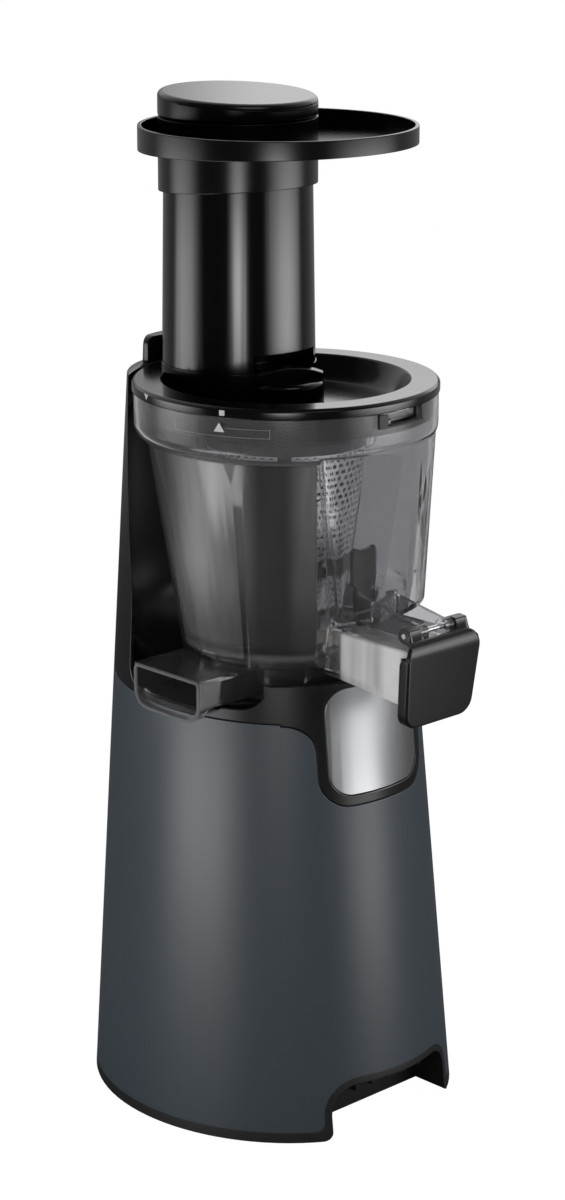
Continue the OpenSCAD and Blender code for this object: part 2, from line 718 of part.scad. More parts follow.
motor_shaft_r = 4;
pinion_bore = 2.5;
upper_bell_h = 38;
lower_bell_h = 26;
bell_t = 3;
stator_z = gearbox_floor - upper_bell_h - stator_h;
fan_r = 34;
fan_h = 7;
fan_z = stator_z - lower_bell_h - fan_h - 1;
module motor_pinion() color(steel) translate([0, motor_y, stage1_z - 0.5]) difference() {
  gear(motor_teeth, stage1_module, stage1_h + 1, pinion_turn);
  translate([0, 0, -1]) cylinder(r = pinion_bore, h = reach);
}

module motor_shaft() color(steel) translate([0, motor_y, 0]) {
  translate([0, 0, fan_z]) cylinder(r = motor_shaft_r, h = gearbox_floor + gearbox_wall + 1 - fan_z);
  translate([0, 0, gearbox_floor + gearbox_wall + 0.9])
    cylinder(r = pinion_bore, h = stage1_z + stage1_h - gearbox_floor - gearbox_wall - 0.4);
}

end_ring_h = 5;
module motor_rotor() color([0.45, 0.45, 0.47]) translate([0, motor_y, 0]) difference() {
  union() {
    translate([0, 0, stator_z]) cylinder(r = rotor_r, h = stator_h, $fn = 72);
    translate([0, 0, stator_z - end_ring_h]) cylinder(r = rotor_r - 3, h = stator_h + 2 * end_ring_h, $fn = 72);
  }
  translate([0, 0, stator_z - 6]) cylinder(r = motor_shaft_r, h = stator_h + 20);
}

module motor_stator() color([0.4, 0.41, 0.43]) translate([0, motor_y, stator_z]) difference() {
  cylinder(r = stator_r, h = stator_h, $fn = 96);
  translate([0, 0, -1]) cylinder(r = rotor_r + air_gap, h = stator_h + 2, $fn = 96);
  translate([0, 0, -1]) motor_bolt_row() cylinder(r = bolt_r, h = stator_h + 2);
}

winding_h = 10;
module stator_windings() color([0.72, 0.38, 0.18]) translate([0, motor_y, 0])
  for (z = [stator_z - winding_h, stator_z + stator_h]) translate([0, 0, z]) rotate_extrude() polygon([
    [rotor_r + 3, 0], [stator_r - 8, 0], [stator_r - 8, winding_h],
    [rotor_r + 6, winding_h], [rotor_r + 3, winding_h - 4]]);

bolt_r = 2;
bolt_head_r = 3.6;
head_t = 2.5;
bell_r = stator_r + 1.5;
module motor_bolt_row() for (a = [45:90:315]) rotate([0, 0, a]) translate([stator_r - 5, 0, 0]) children();
module bell(z_face, z_far) translate([0, motor_y, 0]) difference() {
  low = min(z_face, z_far);
  tall = abs(z_far - z_face);
  translate([0, 0, low]) cylinder(r = bell_r, h = tall, $fn = 96);
  translate([0, 0, z_far > z_face ? low - 1 : low + bell_t])
    cylinder(r = stator_r - 3, h = tall - bell_t + 1, $fn = 96);
  for (a = [0:45:315]) rotate([0, 0, a + 22.5]) translate([stator_r - 12, -6, low + bell_t + 2])
    cube([20, 12, tall - 2 * bell_t - 4]);
}

motor_bearing_r = 10;
motor_bearing_h = 7;
seat_h = 9;
lower_bell_z = stator_z - lower_bell_h;
module motor_end_bells() color([0.3, 0.3, 0.31]) difference() {
  union() {
    bell(stator_z + stator_h, gearbox_floor);
    bell(stator_z, lower_bell_z);
    for (z = [gearbox_floor - seat_h, lower_bell_z])
      translate([0, motor_y, z]) cylinder(r = motor_bearing_r + 3, h = seat_h);
  }
  for (z = [gearbox_floor - seat_h - 1, lower_bell_z + 2])
    translate([0, motor_y, z]) cylinder(r = motor_bearing_r, h = seat_h);
  translate([0, motor_y, lower_bell_z - 4]) cylinder(r = motor_shaft_r + 1, h = reach);
  translate([0, motor_y, 0]) motor_bolt_row() cylinder(r = bolt_r, h = reach);
}

module motor_bearings() color([0.6, 0.6, 0.62]) for (z = [gearbox_floor - seat_h, lower_bell_z + 2.5])
  translate([0, motor_y, z]) difference() {
    cylinder(r = motor_bearing_r, h = motor_bearing_h);
    translate([0, 0, -1]) cylinder(r = motor_shaft_r + run, h = motor_bearing_h + 2);
  }

fan_hub_r = 9;
fan_blade_t = 1.6;
module cooling_fan() color([0.15, 0.15, 0.16]) translate([0, motor_y, fan_z]) difference() {
  union() {
    cylinder(r = fan_hub_r, h = fan_h);
    cylinder(r = fan_r, h = fan_blade_t);
    for (i = [0:8]) rotate([0, 0, 40 * i]) translate([fan_hub_r - 1, -fan_blade_t / 2, 0.5])
      cube([fan_r - fan_hub_r + 1, fan_blade_t, fan_h - 1.5]);
  }
  translate([0, 0, -1]) cylinder(r = motor_shaft_r, h = 20);
}

module motor_bolts() color(steel) translate([0, motor_y, lower_bell_z]) motor_bolt_row() {
  cylinder(r = bolt_r, h = gearbox_floor + 2 - lower_bell_z);
  translate([0, 0, -head_t]) cylinder(r = bolt_head_r, h = head_t);
}

// ---- juicing bowl ----
bowl_bottom = well_floor + bowl_gap;
cone_low_z = deck_z + 1.5;
shoulder_r = 9;
shoulder_c = rim_r - shoulder_r;
floor_t = 2.5;
floor_under = bowl_floor - floor_t;
cap_drop = hinge_z - floor_under + juice_drop + cap_below;
cone_slope = (cone_top_r - cone_low_r) / (shoulder_z - shoulder_r - cone_low_z);
function cone_r(z) = cone_low_r + cone_slope * (z - cone_low_z);

module bowl_outer() rotate_extrude($fn = 128) polygon(concat(
  [[0, bowl_bottom], [bowl_foot_r - 1.5, bowl_bottom], [bowl_foot_r, bowl_bottom + 1.5],
   [bowl_foot_r, cone_low_z - 3], [cone_low_r, cone_low_z]],
  arc(shoulder_c, shoulder_z, shoulder_r, -78, 0),
  [[rim_r, rim_top], [0, rim_top]]
));

module bowl_inner() rotate_extrude($fn = 128) polygon(concat(
  [[0, bowl_floor], [cone_r(bowl_floor) - bowl_wall, bowl_floor]],
  arc(shoulder_c, shoulder_z, shoulder_r - bowl_wall, -78, 0),
  [[rim_r - bowl_wall, rim_top + 1], [0, rim_top + 1]]
));

chamber_lean = 7;

// The wide sector on the juice side, whose left wall leans with the spout
module chamber(inset) {
  z0 = chamber_floor + inset;
  r0 = chamber_low_r - inset;
  r1 = rim_r - 1 - inset;
  z1 = shoulder_z + 6;
  intersection() {
    rotate([0, 0, chamber_from - 15])
      rotate_extrude(angle = chamber_span + 15 - inset / chamber_low_r * 57, $fn = 128)
        polygon([[30, z0], [r0, z0], [r1, shoulder_z], [r1, z1], [30, z1]]);
    rotate([0, 0, chamber_from]) translate([0, 0, (chamber_floor + shoulder_z) / 2])
      rotate([chamber_lean, 0, 0]) translate([-reach, inset, -reach]) cube([2 * reach, 2 * reach, 2 * reach]);
  }
}

// Side view of the juice spout in y and z, inset by g, running on past its mouth
spout_end = hinge_y + mouth_out + 5;
function spout_side(g) = let (y0 = -bowl_foot_r + 4, z0 = floor_under) [
  [y0, z0 + g], [-spout_end, z0 - juice_drop + g],
  [-spout_end, juice_top - g], [y0, juice_top - g]];
module spout_prism(g) rotate([90, 0, 90]) translate([0, 0, -juice_half + g])
  linear_extrude(2 * (juice_half - g)) polygon(spout_side(g));

// Turns its children from the cap's upright pose into its closed pose
module lean() translate([0, -hinge_y, hinge_z]) rotate([cap_lean, 0, 0])
  translate([0, hinge_y, -hinge_z]) children();

mouth_gap = 0.5;
knuckle_r = 4;
pedestal_half = 3.7;   // half thickness of what carries a knuckle
knuckles = [6.5, 12.8];
knuckle_w = knuckles[1] - knuckles[0];
ear_end = 22;
module both_sides() for (s = [0, 1]) mirror([s, 0, 0]) children();
module knuckle_row(r) both_sides() translate([knuckles[0], -hinge_y, hinge_z])
  rotate([0, 90, 0]) cylinder(r = r, h = knuckle_w, $fn = 48);

// Web from the chamber's wall down to each knuckle
rib_t = 2.4;
module knuckle_webs() both_sides() translate([knuckles[0] + (knuckle_w - rib_t) / 2, 0, 0])
  rotate([90, 0, 90]) linear_extrude(rib_t) polygon([
    [-chamber_low_r + 3, juice_top - 1], [-hinge_y - 2, juice_top - 1],
    [-hinge_y, hinge_z + knuckle_r - 0.5], [-chamber_low_r + 3, hinge_z + 10]]);

// Sector of a ring, for ribs, lugs and openings: radii, heights, middle direction and half angle
module sector(r0, r1, z0, z1, dir, half) rotate([0, 0, dir - half])
  rotate_extrude(angle = 2 * half, $fn = 96) polygon([[r0, z0], [r1, z0], [r1, z1], [r0, z1]]);

pulp_wall = 2.2;
lip_from = half_x(well_floor - lip_bow) + 0.6;  // the lip hangs down outside the body
pulp_door = 29;        // half angle of the pulp opening
pinion_dir = 56.25;    // where the idler pinions stand, either side of +X
auger_teeth = 20;
idler_teeth = 12;
ring_teeth = auger_teeth + 2 * idler_teeth;
idler_gap = (auger_teeth + idler_teeth) / 2 * brush_module;
idler_pin_r = 3;
sleeve_r = 9;
bore_r = sleeve_r + 1.6;
post_in = 17.4;
post_out = strainer_low_r - 0.3;

lug_half = 2.8;
lug_dirs = [-95, -5, 85];
lug_z = [rim_top - 7, rim_top - 3.5];

slot_in = rim_r - bowl_wall - 1;
slot_out = rim_r + 1;
module bayonet_slots() for (d = lug_dirs) {
  sector(slot_in, slot_out, lug_z[0] - 0.5, lug_z[1] + 0.5, d + bayonet_turn / 2,
    lug_half + bayonet_turn / 2 + 0.7);
  sector(slot_in, slot_out, lug_z[0] - 0.4, rim_top + 1, d + bayonet_turn, lug_half + 0.4);
}

module juicing_bowl() color(smoke) difference() {
  union() {
    difference() {
      union() {
        bowl_outer();
        chamber(0);
        pulp_prism(bowl_foot_r - 10, pulp_reach);
        pulp_prism(lip_from, pulp_reach, 0, lip_bow);
        difference() {
          spout_prism(0);
          lean() translate([-reach, -hinge_y - mouth_out - reach, 0]) cube([2 * reach, reach, 2 * reach]);
        }
      }
      bowl_inner();
      chamber(bowl_wall);
      spout_prism(bowl_wall);
      difference() {
        translate([0, 0, bowl_bottom - 1]) cylinder(r = bowl_foot_r - 3.5, h = floor_under - bowl_bottom + 1);
        translate([0, 0, bowl_bottom - 2]) cylinder(r = bore_r + 3, h = 30);
        pulp_prism(12, bowl_foot_r + 1);
      }
      difference() {
        intersection() {
          pulp_prism(0, pulp_reach + 1, -pulp_wall);
          translate([-reach, -reach, bowl_bottom]) cube([2 * reach, 2 * reach, floor_under - bowl_bottom]);
        }
        cylinder(r = bore_r + 3, h = reach);
      }
      pulp_prism(cone_low_r - 1, pulp_reach + 1, -pulp_wall);
      pulp_prism(lip_from + pulp_wall, pulp_reach + 1, -pulp_wall, lip_bow);
    }
    sector(post_in, post_out, bowl_floor - 0.5, strainer_z - 0.1, 180, pulp_door + 7);
    sector(post_in, post_out, bowl_floor - 0.5, strainer_z - 0.1, 0, 18);
    for (s = [-1, 1]) rotate([0, 0, s * pinion_dir]) translate([idler_gap, 0, bowl_floor - 0.5])
      cylinder(r = idler_pin_r, h = 9.3);
    both_sides() translate([knuckles[0], -hinge_y - pedestal_half, juice_top - 1])
      cube([knuckle_w, 2 * pedestal_half, hinge_z - juice_top + 1]);
    knuckle_webs();
    knuckle_row(knuckle_r);
  }
  sector(post_in + 1.8, post_out - 1, bowl_bottom + pulp_wall, strainer_z + 1, 180, pulp_door);
  translate([0, 0, bowl_bottom - 1]) cylinder(r = bore_r, h = reach / 3);
  bayonet_slots();
  knuckle_row(hinge_pin_r + run);
}

module bowl_seal() color(silicone) translate([0, 0, bowl_bottom + 6]) difference() {
  cylinder(r = bore_r, h = bowl_floor - bowl_bottom - 6.2);
  translate([0, 0, -1]) cylinder(r = sleeve_r + run, h = 30);
}

// ---- strainer ----
strain_slope = (strainer_top_r - strainer_low_r) / (strainer_top - strainer_z);
function strain_r(z) = strainer_low_r + strain_slope * (z - strainer_z);
module cone_shell(z0, z1, out, inn) rotate_extrude($fn = 128) polygon([
  [strain_r(z0) - inn, z0], [strain_r(z0) - out, z0], [strain_r(z1) - out, z1], [strain_r(z1) - inn, z1]]);
lower_window = [strainer_z + 12, strainer_z + 31];
upper_window = [strainer_z + 41, strainer_top - 12];
window_half = 40;

module strainer_frame() color(black) difference() {
  union() {
    cone_shell(strainer_z, strainer_top, 0, strainer_wall);
    translate([0, 0, strainer_z]) cylinder(r = strain_r(strainer_z) - 0.5, h = floor_t);
  }
  translate([0, 0, strainer_z - 1]) cylinder(r = post_in, h = 10);
  sector(post_in + 1.8, post_out - 1, strainer_z - 1, strainer_z + 5, 180, pulp_door);
  for (w = [lower_window, upper_window], a = [0:90:270])
    sector(strain_r(w[0]) - 8, strain_r(w[1]) + 5, w[0], w[1], a, window_half);
}

slot_pitch = 0.9 * 2 * window_half / slot_columns;
slot_w = 2.6;
module strainer_screen() color(steel) difference() {
  cone_shell(lower_window[0] - 3, upper_window[1] + 4, strainer_wall, strainer_wall + screen_t);
  for (a = [0:90:270], c = [0:slot_columns - 1]) rotate([0, 0, a + slot_pitch * (c - (slot_columns - 1) / 2)])
    for (z = [lower_window[0] + 2, upper_window[0] + 2, upper_window[0] + 21, upper_window[0] + 40])
      translate([10, -slot_w / 2, z]) cube([reach, slot_w, 15]);
}

// ---- wiping brush ----
brush_ring_r = ring_teeth * brush_module / 2 + 5;
brush_z = bowl_floor + 0.5;
gear_top = bowl_floor + 9.4;
brush_lip = strainer_z + 0.8;
brush_top = strainer_top - 5;
brush_dirs = [-84, 36, 156];
arm_half = 11;
arm_t = 2.6;
hoop_h = 6;
function brush_r(z) = strain_r(z) + brush_gap;
idler_top = bowl_floor + 9;

module brush_frame() color(black) union() {
  difference() {
    translate([0, 0, brush_z]) cylinder(r = brush_ring_r, h = brush_lip - brush_z, $fn = 96);
    translate([0, 0, brush_z - 1]) gear_space();
    translate([0, 0, gear_top - 0.2]) cylinder(r = brush_r(brush_lip) - 0.2, h = 20);
  }
  for (d = brush_dirs) rotate([0, 0, d - arm_half]) rotate_extrude(angle = 2 * arm_half, $fn = 96)
    polygon([[brush_r(brush_lip), brush_lip - 1.2], [brush_ring_r, brush_lip - 1.2],
      [brush_r(brush_lip + 14) + 9, brush_lip + 10], [brush_r(brush_lip + 34) + 6, brush_lip + 34],
      [brush_r(brush_top) + arm_t, brush_top], [brush_r(brush_top), brush_top]]);
  translate([0, 0, brush_top - hoop_h]) rotate_extrude($fn = 96) polygon([
    [brush_r(brush_top), 0], [brush_r(brush_top) + arm_t, 0],
    [brush_r(brush_top) + arm_t, hoop_h], [brush_r(brush_top), hoop_h]]);
}

function ring_turn() = let (t = idler_turn(1), phase = (pinion_dir - t) * idler_teeth / 360)
  pinion_dir - phase * 360 / ring_teeth;
function idler_turn(s) = mesh_turn(auger_teeth, 0, idler_teeth, s * pinion_dir);
module gear_space() rotate([0, 0, ring_turn()])
  linear_extrude(gear_top - brush_z + 1) polygon(gear_outline(ring_teeth, brush_module, 1.15, 0.85, -0.12));

// Silicone blades on the arms: one inwards to the screen and one outwards to the bowl
blade_t = 1.6;
function blade_out(z) = cone_r(z) - bowl_wall - 1;
module wiper_blades() color([0.75, 0.75, 0.77]) for (d = brush_dirs) rotate([0, 0, d + arm_half]) {
  z0 = brush_lip + 12;
  z1 = brush_top - 8;
  rotate([90, 0, 0]) translate([0, 0, -blade_t]) linear_extrude(blade_t) polygon([
    [strain_r(z0) + 0.4, z0], [blade_out(z0), z0], [blade_out(z1), z1], [strain_r(z1) + 0.4, z1]]);
}

module idler(s) color([0.85, 0.85, 0.83]) rotate([0, 0, s * pinion_dir])
  translate([idler_gap, 0, bowl_floor + 0.6]) rotate([0, 0, -s * pinion_dir]) difference() {
    gear(idler_teeth, brush_module, idler_top - bowl_floor - 0.8, idler_turn(s));
    translate([0, 0, -1]) cylinder(r = idler_pin_r + run, h = 20);
  }
module idler_pinion_left() idler(-1);
module idler_pinion_right() idler(1);

// ---- auger ----
auger_top = dish_floor - lid_wall - 3.5;
core_top_r = 15;
core_low_r = 23;
core_z = strainer_z + floor_t + 0.5;
core_foot = core_z + 6;
journal_top = dish_floor - 1;
sleeve_z = bowl_bottom + 5;
function auger_r(z) = strain_r(z) - strainer_wall - screen_t - auger_gap;

module auger_core() color([0.1, 0.1, 0.105]) difference() {
  union() {
    rotate_extrude($fn = 96) polygon([
      [0, sleeve_z], [sleeve_r, sleeve_z], [sleeve_r, bowl_floor + 0.6],
      [13, bowl_floor + 0.6], [13, gear_top], [post_in - 0.9, gear_top], [post_in - 0.9, core_z - 0.5],
      [core_low_r, core_z + 1], [core_low_r, core_foot], [core_top_r, auger_top],
      [journal_r, auger_top], [journal_r, journal_top - 1], [journal_r - 1, journal_top], [0, journal_top]]);
    translate([0, 0, bowl_floor + 0.6]) gear(auger_teeth, brush_module, gear_top - bowl_floor - 0.6, 0);
  }
  translate([0, 0, sleeve_z - 1]) hexagon(hex_flats + 0.3, shaft_top + 3 - sleeve_z);
}

flight_z = core_z + 1;
flight_h = auger_top - 6 - flight_z;
flight_count = 3;
flight_t = 5.2;
// Three flights wound round the core, trimmed to the strainer's cone
module auger_flights() color([0.1, 0.1, 0.105]) difference() {
  intersection() {
    translate([0, 0, flight_z]) linear_extrude(flight_h, twist = 360 * flight_turns, slices = 36, segments = 12)
      for (i = [0:flight_count - 1]) rotate([0, 0, 360 * i / flight_count])
        translate([core_top_r - 3, -flight_t / 2]) square([strainer_top_r, flight_t]);
    translate([0, 0, flight_z - 1])
      cylinder(r1 = auger_r(flight_z - 1), r2 = auger_r(flight_z + flight_h + 1), h = flight_h + 2, $fn = 96);
  }
  rotate_extrude($fn = 96) polygon([
    [0, flight_z - 2], [core_low_r, flight_z - 2], [core_low_r, core_foot],
    [core_top_r, auger_top], [0, auger_top]]);
}

// ---- spout cap ----
cap_t = 3.5;
cap_skirt = 3;
cap_wall = 2.5;
plate_back = hinge_y + mouth_out + mouth_gap;
cap_taper = 2;         // how much narrower each side is at the foot
cap_round = 9;

// Outline of the cap in x and z, inset by g
function cap_outline(g) = let (r = cap_round - g, w = cap_half - g - r,
    z0 = hinge_z - cap_drop + cap_round, z1 = hinge_z - 1.5 - r) concat(
  arc(w - cap_taper, z0, r, -90, 0, 6), arc(w, z1, r, 0, 90, 6),
  arc(-w, z1, r, 90, 180, 6), arc(-w + cap_taper, z0, r, 180, 270, 6));
module cap_slab(y, t, g) translate([0, y, 0]) rotate([90, 0, 0]) linear_extrude(t) polygon(cap_outline(g));

// Side view of an ear in y and z: round about the hinge and let into the plate
ear_outline = concat([[-plate_back - 1, hinge_z - knuckle_r]],
  arc(-hinge_y, hinge_z, knuckle_r, -90, 90, 16), [[-plate_back - 1, hinge_z + knuckle_r]]);

module spout_cap() color([0.06, 0.06, 0.065]) difference() {
  lean() {
    cap_slab(-plate_back, cap_t, 0);
    difference() {
      cap_slab(-plate_back + cap_skirt, cap_skirt + 1, 0);
      cap_slab(-plate_back + cap_skirt + 1, cap_skirt + 1, cap_wall);
      translate([-reach, -plate_back, hinge_z - 9]) cube([2 * reach, 2 * cap_skirt, reach]);
    }
    both_sides() translate([knuckles[1] + mould_gap, 0, 0]) rotate([90, 0, 90])
      linear_extrude(ear_end - knuckles[1] - mould_gap) polygon(ear_outline);
  }
  translate([-cap_half, -hinge_y, hinge_z]) rotate([0, 90, 0]) cylinder(r = hinge_pin_r, h = 2 * cap_half);
}

// A silicone plug behind the cap, small enough to swing out of the mouth
seal_t = 3;
plug_low = bowl_floor - juice_drop + 2.6;
plug_top = juice_top - bowl_wall - 2.2;
module cap_seal() color(silicone) lean() translate([0, -plate_back + seal_t, 0]) rotate([90, 0, 0])
  linear_extrude(seal_t) polygon(rounded(juice_half - bowl_wall - 0.7, plug_low, plug_top, 3));

module cap_hinge_pin() color(steel) translate([-ear_end + 0.5, -hinge_y, hinge_z]) rotate([0, 90, 0])
  cylinder(r = hinge_pin_r, h = 2 * ear_end - 1);

// ---- lid ----
skirt_r = rim_r - bowl_wall - mould_gap;
niche_r = knob_r + 1.3;
niche_top = dish_floor + knob_h + niche_room;
chute_r = strainer_top_r - 1.5;
socket_r = tube_low_r + 0.6;
bush_r = journal_r + 3;
post_r = 10.5;
post_h = 8;
skirt_h = 12;
dish_under = dish_floor - lid_wall;
collar_r0 = strainer_top_r + 0.4;   // collar that centres the strainer's top

module tube_bore(z0, z1, r0, r1) translate([0, tube_y, z0])
  cylinder(r1 = r0, r2 = r1, h = z1 - z0, $fn = 96);

// The funnel that leads the food from the tube down to the auger
module chute_void() intersection() {
  tube_bore(dish_floor - 10, tube_seam + 1, tube_low_r - tube_wall, tube_low_r - tube_wall);
  translate([0, 0, dish_under - 1])
    cylinder(r1 = chute_r - 0.5, r2 = chute_r + 36, h = tube_seam - dish_under + 3, $fn = 96);
}

module lid() color(black) difference() {
  union() {
    rotate_extrude($fn = 128) polygon([
      [0, dish_under], [lid_open_r - 6, dish_under], [lid_open_r - 3.5, dish_under + 2],
      [lid_open_r + 2.5, lid_top - lid_wall], [skirt_r - lid_wall, lid_top - lid_wall],
      [skirt_r - lid_wall, rim_top - skirt_h], [skirt_r, rim_top - skirt_h], [skirt_r, rim_top + seat],
      [lid_r, rim_top + seat], [lid_r, lid_top - 1.5], [lid_r - 1.5, lid_top],
      [lid_open_r + 1, lid_top], [lid_open_r, lid_top - 1], [lid_open_r - 6, dish_floor + 2],
      [lid_open_r - 8, dish_floor], [post_r, dish_floor],
      [post_r, dish_floor + post_h], [0, dish_floor + post_h]]);
    tube_bore(dish_under, tube_seam, socket_r, socket_r);
    rotate_extrude($fn = 96) polygon([
      [collar_r0, strainer_top - 0.5], [collar_r0 + 2.2, strainer_top - 0.5],
      [collar_r0 + 2.2, dish_floor], [collar_r0, dish_floor]]);
    translate([0, 0, dish_under - 3]) cylinder(r = bush_r + 2.5, h = 5);
    for (d = lug_dirs) sector(skirt_r - 1, rim_r - 0.3, lug_z[0], lug_z[1], d, lug_half);
  }
  difference() {
    chute_void();
    translate([0, 0, dish_floor - 20]) cylinder(r = niche_r + lid_wall, h = reach);
  }
  difference() {
    translate([0, 0, dish_floor]) cylinder(r = niche_r, h = reach);
    translate([0, 0, dish_floor - 1]) cylinder(r = post_r, h = post_h + 1);
  }
  translate([0, 0, dish_floor - 20]) cylinder(r = bush_r, h = 20 + 3);
}

module auger_bush() color([0.85, 0.85, 0.82]) translate([0, 0, auger_top + 0.5]) difference() {
  cylinder(r = bush_r, h = dish_floor + 3 - auger_top - 0.5);
  translate([0, 0, -1]) cylinder(r = journal_r + run, h = journal_top + 1 - auger_top);
}

module feed_tube() color(black) difference() {
  tube_bore(tube_seam, tube_top, tube_low_r, tube_top_r);
  difference() {
    tube_bore(tube_seam - 0.01, tube_top + 0.01, tube_low_r - tube_wall, tube_top_r - tube_wall);
    translate([0, 0, tube_seam - 1])
      cylinder(r = niche_r + lid_wall, h = niche_top + lid_wall - tube_seam + 1);
  }
  translate([0, 0, tube_seam - 1]) cylinder(r = niche_r, h = niche_top - tube_seam + 1);
}

knob_z = dish_floor + seat;
grip_turn = -44;
grip_t = 7;
grip_h = 6.5;
function grip_point(t) = [t * knob_r, knob_z + knob_h + grip_h * cos(78 * (t - 0.25))];
module lid_knob() color([0.04, 0.04, 0.045]) difference() {
  union() {
    rotate_extrude($fn = 96) polygon(concat([[0, knob_z], [knob_r, knob_z]],
      arc(knob_r - 3, knob_z + knob_h - 3, 3, 0, 90, 6), [[0, knob_z + knob_h]]));
    intersection() {
      rotate([90, 0, grip_turn]) translate([0, 0, -grip_t / 2]) linear_extrude(grip_t) polygon(concat(
        [[-knob_r, knob_z + 2], [knob_r, knob_z + 2]], [for (i = [0:8]) grip_point(1 - i / 4)]));
      translate([0, 0, knob_z]) cylinder(r = knob_r - 0.5, h = knob_h + 2 * grip_h);
    }
  }
  translate([0, 0, knob_z - 1]) cylinder(r = post_r + mould_gap, h = post_h + 1.4);
}

// ---- tray and pusher ----
collar_in = tube_top_r + 0.4;
collar_r = collar_in + 2.6;
collar_low = tube_top - 22.5;
tray_low = tray_top - tray_depth;
lip_top = pusher_top - head_h - seat;
tray_wall = 2.2;
head_r = collar_r;     // the head and the collar are flush

module tray_plane(z) translate([0, 0, z]) rotate([-tray_tilt, 0, 0]) children();

module feed_tray() color(black) difference() {
  union() {
    difference() {
      intersection() {
        translate([0, tray_y, tray_low - 10]) cylinder(r = tray_r, h = tray_depth + 10, $fn = 128);
        tray_plane(tray_low) translate([-reach, -reach, 0]) cube(2 * reach);
      }
      intersection() {
        translate([0, tray_y, tray_low - 10])
          cylinder(r = tray_r - tray_wall, h = tray_depth + 20, $fn = 128);
        tray_plane(tray_low + tray_wall) translate([-reach, -reach, 0]) cube(2 * reach);
      }
    }
    intersection() {
      tube_bore(collar_low - 10, lip_top, collar_r, collar_r);
      tray_plane(collar_low) rotate([-tray_tilt, 0, 0]) translate([-reach, -reach, 0]) cube(2 * reach);
    }
  }
  tube_bore(collar_low - 20, tube_top + seat, collar_in + 0.45, collar_in);
  tube_bore(tube_top - 1, lip_top + 1, tube_top_r - tube_wall + 0.1, tube_top_r - tube_wall + 0.1);
}

head_low = lip_top + seat;
body_top_r = tube_top_r - tube_wall - pusher_gap;
pusher_low = head_low - pusher_length;
module pusher_head() color(black) difference() {
  intersection() {
    translate([0, tube_y, head_low]) rotate_extrude($fn = 128) polygon(concat(
      [[0, 0], [head_r - 1, 0], [head_r, 1]], [[head_r, 20], [0, 20]]));
    translate([0, tube_y, pusher_top]) rotate([head_tilt, 0, 0]) rotate_extrude($fn = 128) polygon(concat(
      [[0, -40], [head_r + 5, -40], [head_r + 0.1, -3]], arc(head_r - 3, -3, 3, 0, 90, 6), [[0, 0]]));
  }
  translate([0, tube_y, head_low - 1]) cylinder(r = body_top_r - 3, h = 5, $fn = 96);
}

module pusher_body() color([0.09, 0.09, 0.095]) translate([0, tube_y, 0]) difference() {
  union() {
    translate([0, 0, pusher_low]) cylinder(r = body_top_r, h = pusher_length, $fn = 96);
    translate([0, 0, head_low - 0.5]) cylinder(r = body_top_r - 3.2, h = 4, $fn = 96);
  }
  translate([0, 0, pusher_low + 2.5]) cylinder(r = body_top_r - 2.5, h = pusher_length - 7, $fn = 96);
}

lower_housing();
upper_housing();
tower_cap();
base_cover();
rubber_feet();
front_plate();
switch_bezel();
rocker_switch();
cord_inlet();
control_board();
run_capacitor();
lid_microswitch();
gearbox_case();
gearbox_cover();
gearbox_screws();
output_gear();
drive_shaft();
shaft_bearings();
shaft_seal();
countershaft();
countershaft_gears();
motor_pinion();
motor_shaft();
motor_rotor();
motor_stator();
stator_windings();
motor_end_bells();
motor_bearings();
cooling_fan();
motor_bolts();
juicing_bowl();
bowl_seal();
strainer_frame();
strainer_screen();
brush_frame();
wiper_blades();
idler_pinion_left();
idler_pinion_right();
auger_core();
auger_flights();
spout_cap();
cap_seal();
cap_hinge_pin();
lid();
feed_tube();
auger_bush();
lid_knob();
feed_tray();
pusher_body();
pusher_head();
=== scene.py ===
# %% [markdown]
# # A cold press juicer
# This lesson dresses the solid model of a slow juicer. The solids come in as a fixed frame:
# every housing, gear and bowl already stands in its place, in metres. Blender adds the finishes,
# the perforated strainer, the small printed marks, the light and the camera.

# %% Load the frame
import json
import math
import bmesh
import bpy
from mathutils import Matrix, Vector

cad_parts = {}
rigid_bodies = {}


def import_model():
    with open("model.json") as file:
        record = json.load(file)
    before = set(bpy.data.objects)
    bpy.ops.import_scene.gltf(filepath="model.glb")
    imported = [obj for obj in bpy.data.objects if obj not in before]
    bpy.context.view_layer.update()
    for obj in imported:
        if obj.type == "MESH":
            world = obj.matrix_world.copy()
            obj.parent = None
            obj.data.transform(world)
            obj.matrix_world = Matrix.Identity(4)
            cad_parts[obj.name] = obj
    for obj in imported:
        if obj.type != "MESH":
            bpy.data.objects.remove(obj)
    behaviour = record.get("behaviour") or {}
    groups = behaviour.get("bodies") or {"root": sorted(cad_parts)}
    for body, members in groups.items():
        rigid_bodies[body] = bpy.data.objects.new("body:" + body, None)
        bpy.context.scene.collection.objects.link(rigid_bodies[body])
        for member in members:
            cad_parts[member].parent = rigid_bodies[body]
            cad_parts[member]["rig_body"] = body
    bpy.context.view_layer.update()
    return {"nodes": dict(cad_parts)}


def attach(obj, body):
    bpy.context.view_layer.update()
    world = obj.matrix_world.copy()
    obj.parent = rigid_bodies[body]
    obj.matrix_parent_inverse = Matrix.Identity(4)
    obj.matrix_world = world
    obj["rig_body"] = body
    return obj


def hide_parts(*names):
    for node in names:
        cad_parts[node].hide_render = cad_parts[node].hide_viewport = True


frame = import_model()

nodes = frame["nodes"]

# %% [markdown]
# ## The camera
# A long lens from the front left, a little above the lid, keeps the tall body almost upright
# and still shows the top of the lid and of the tray.

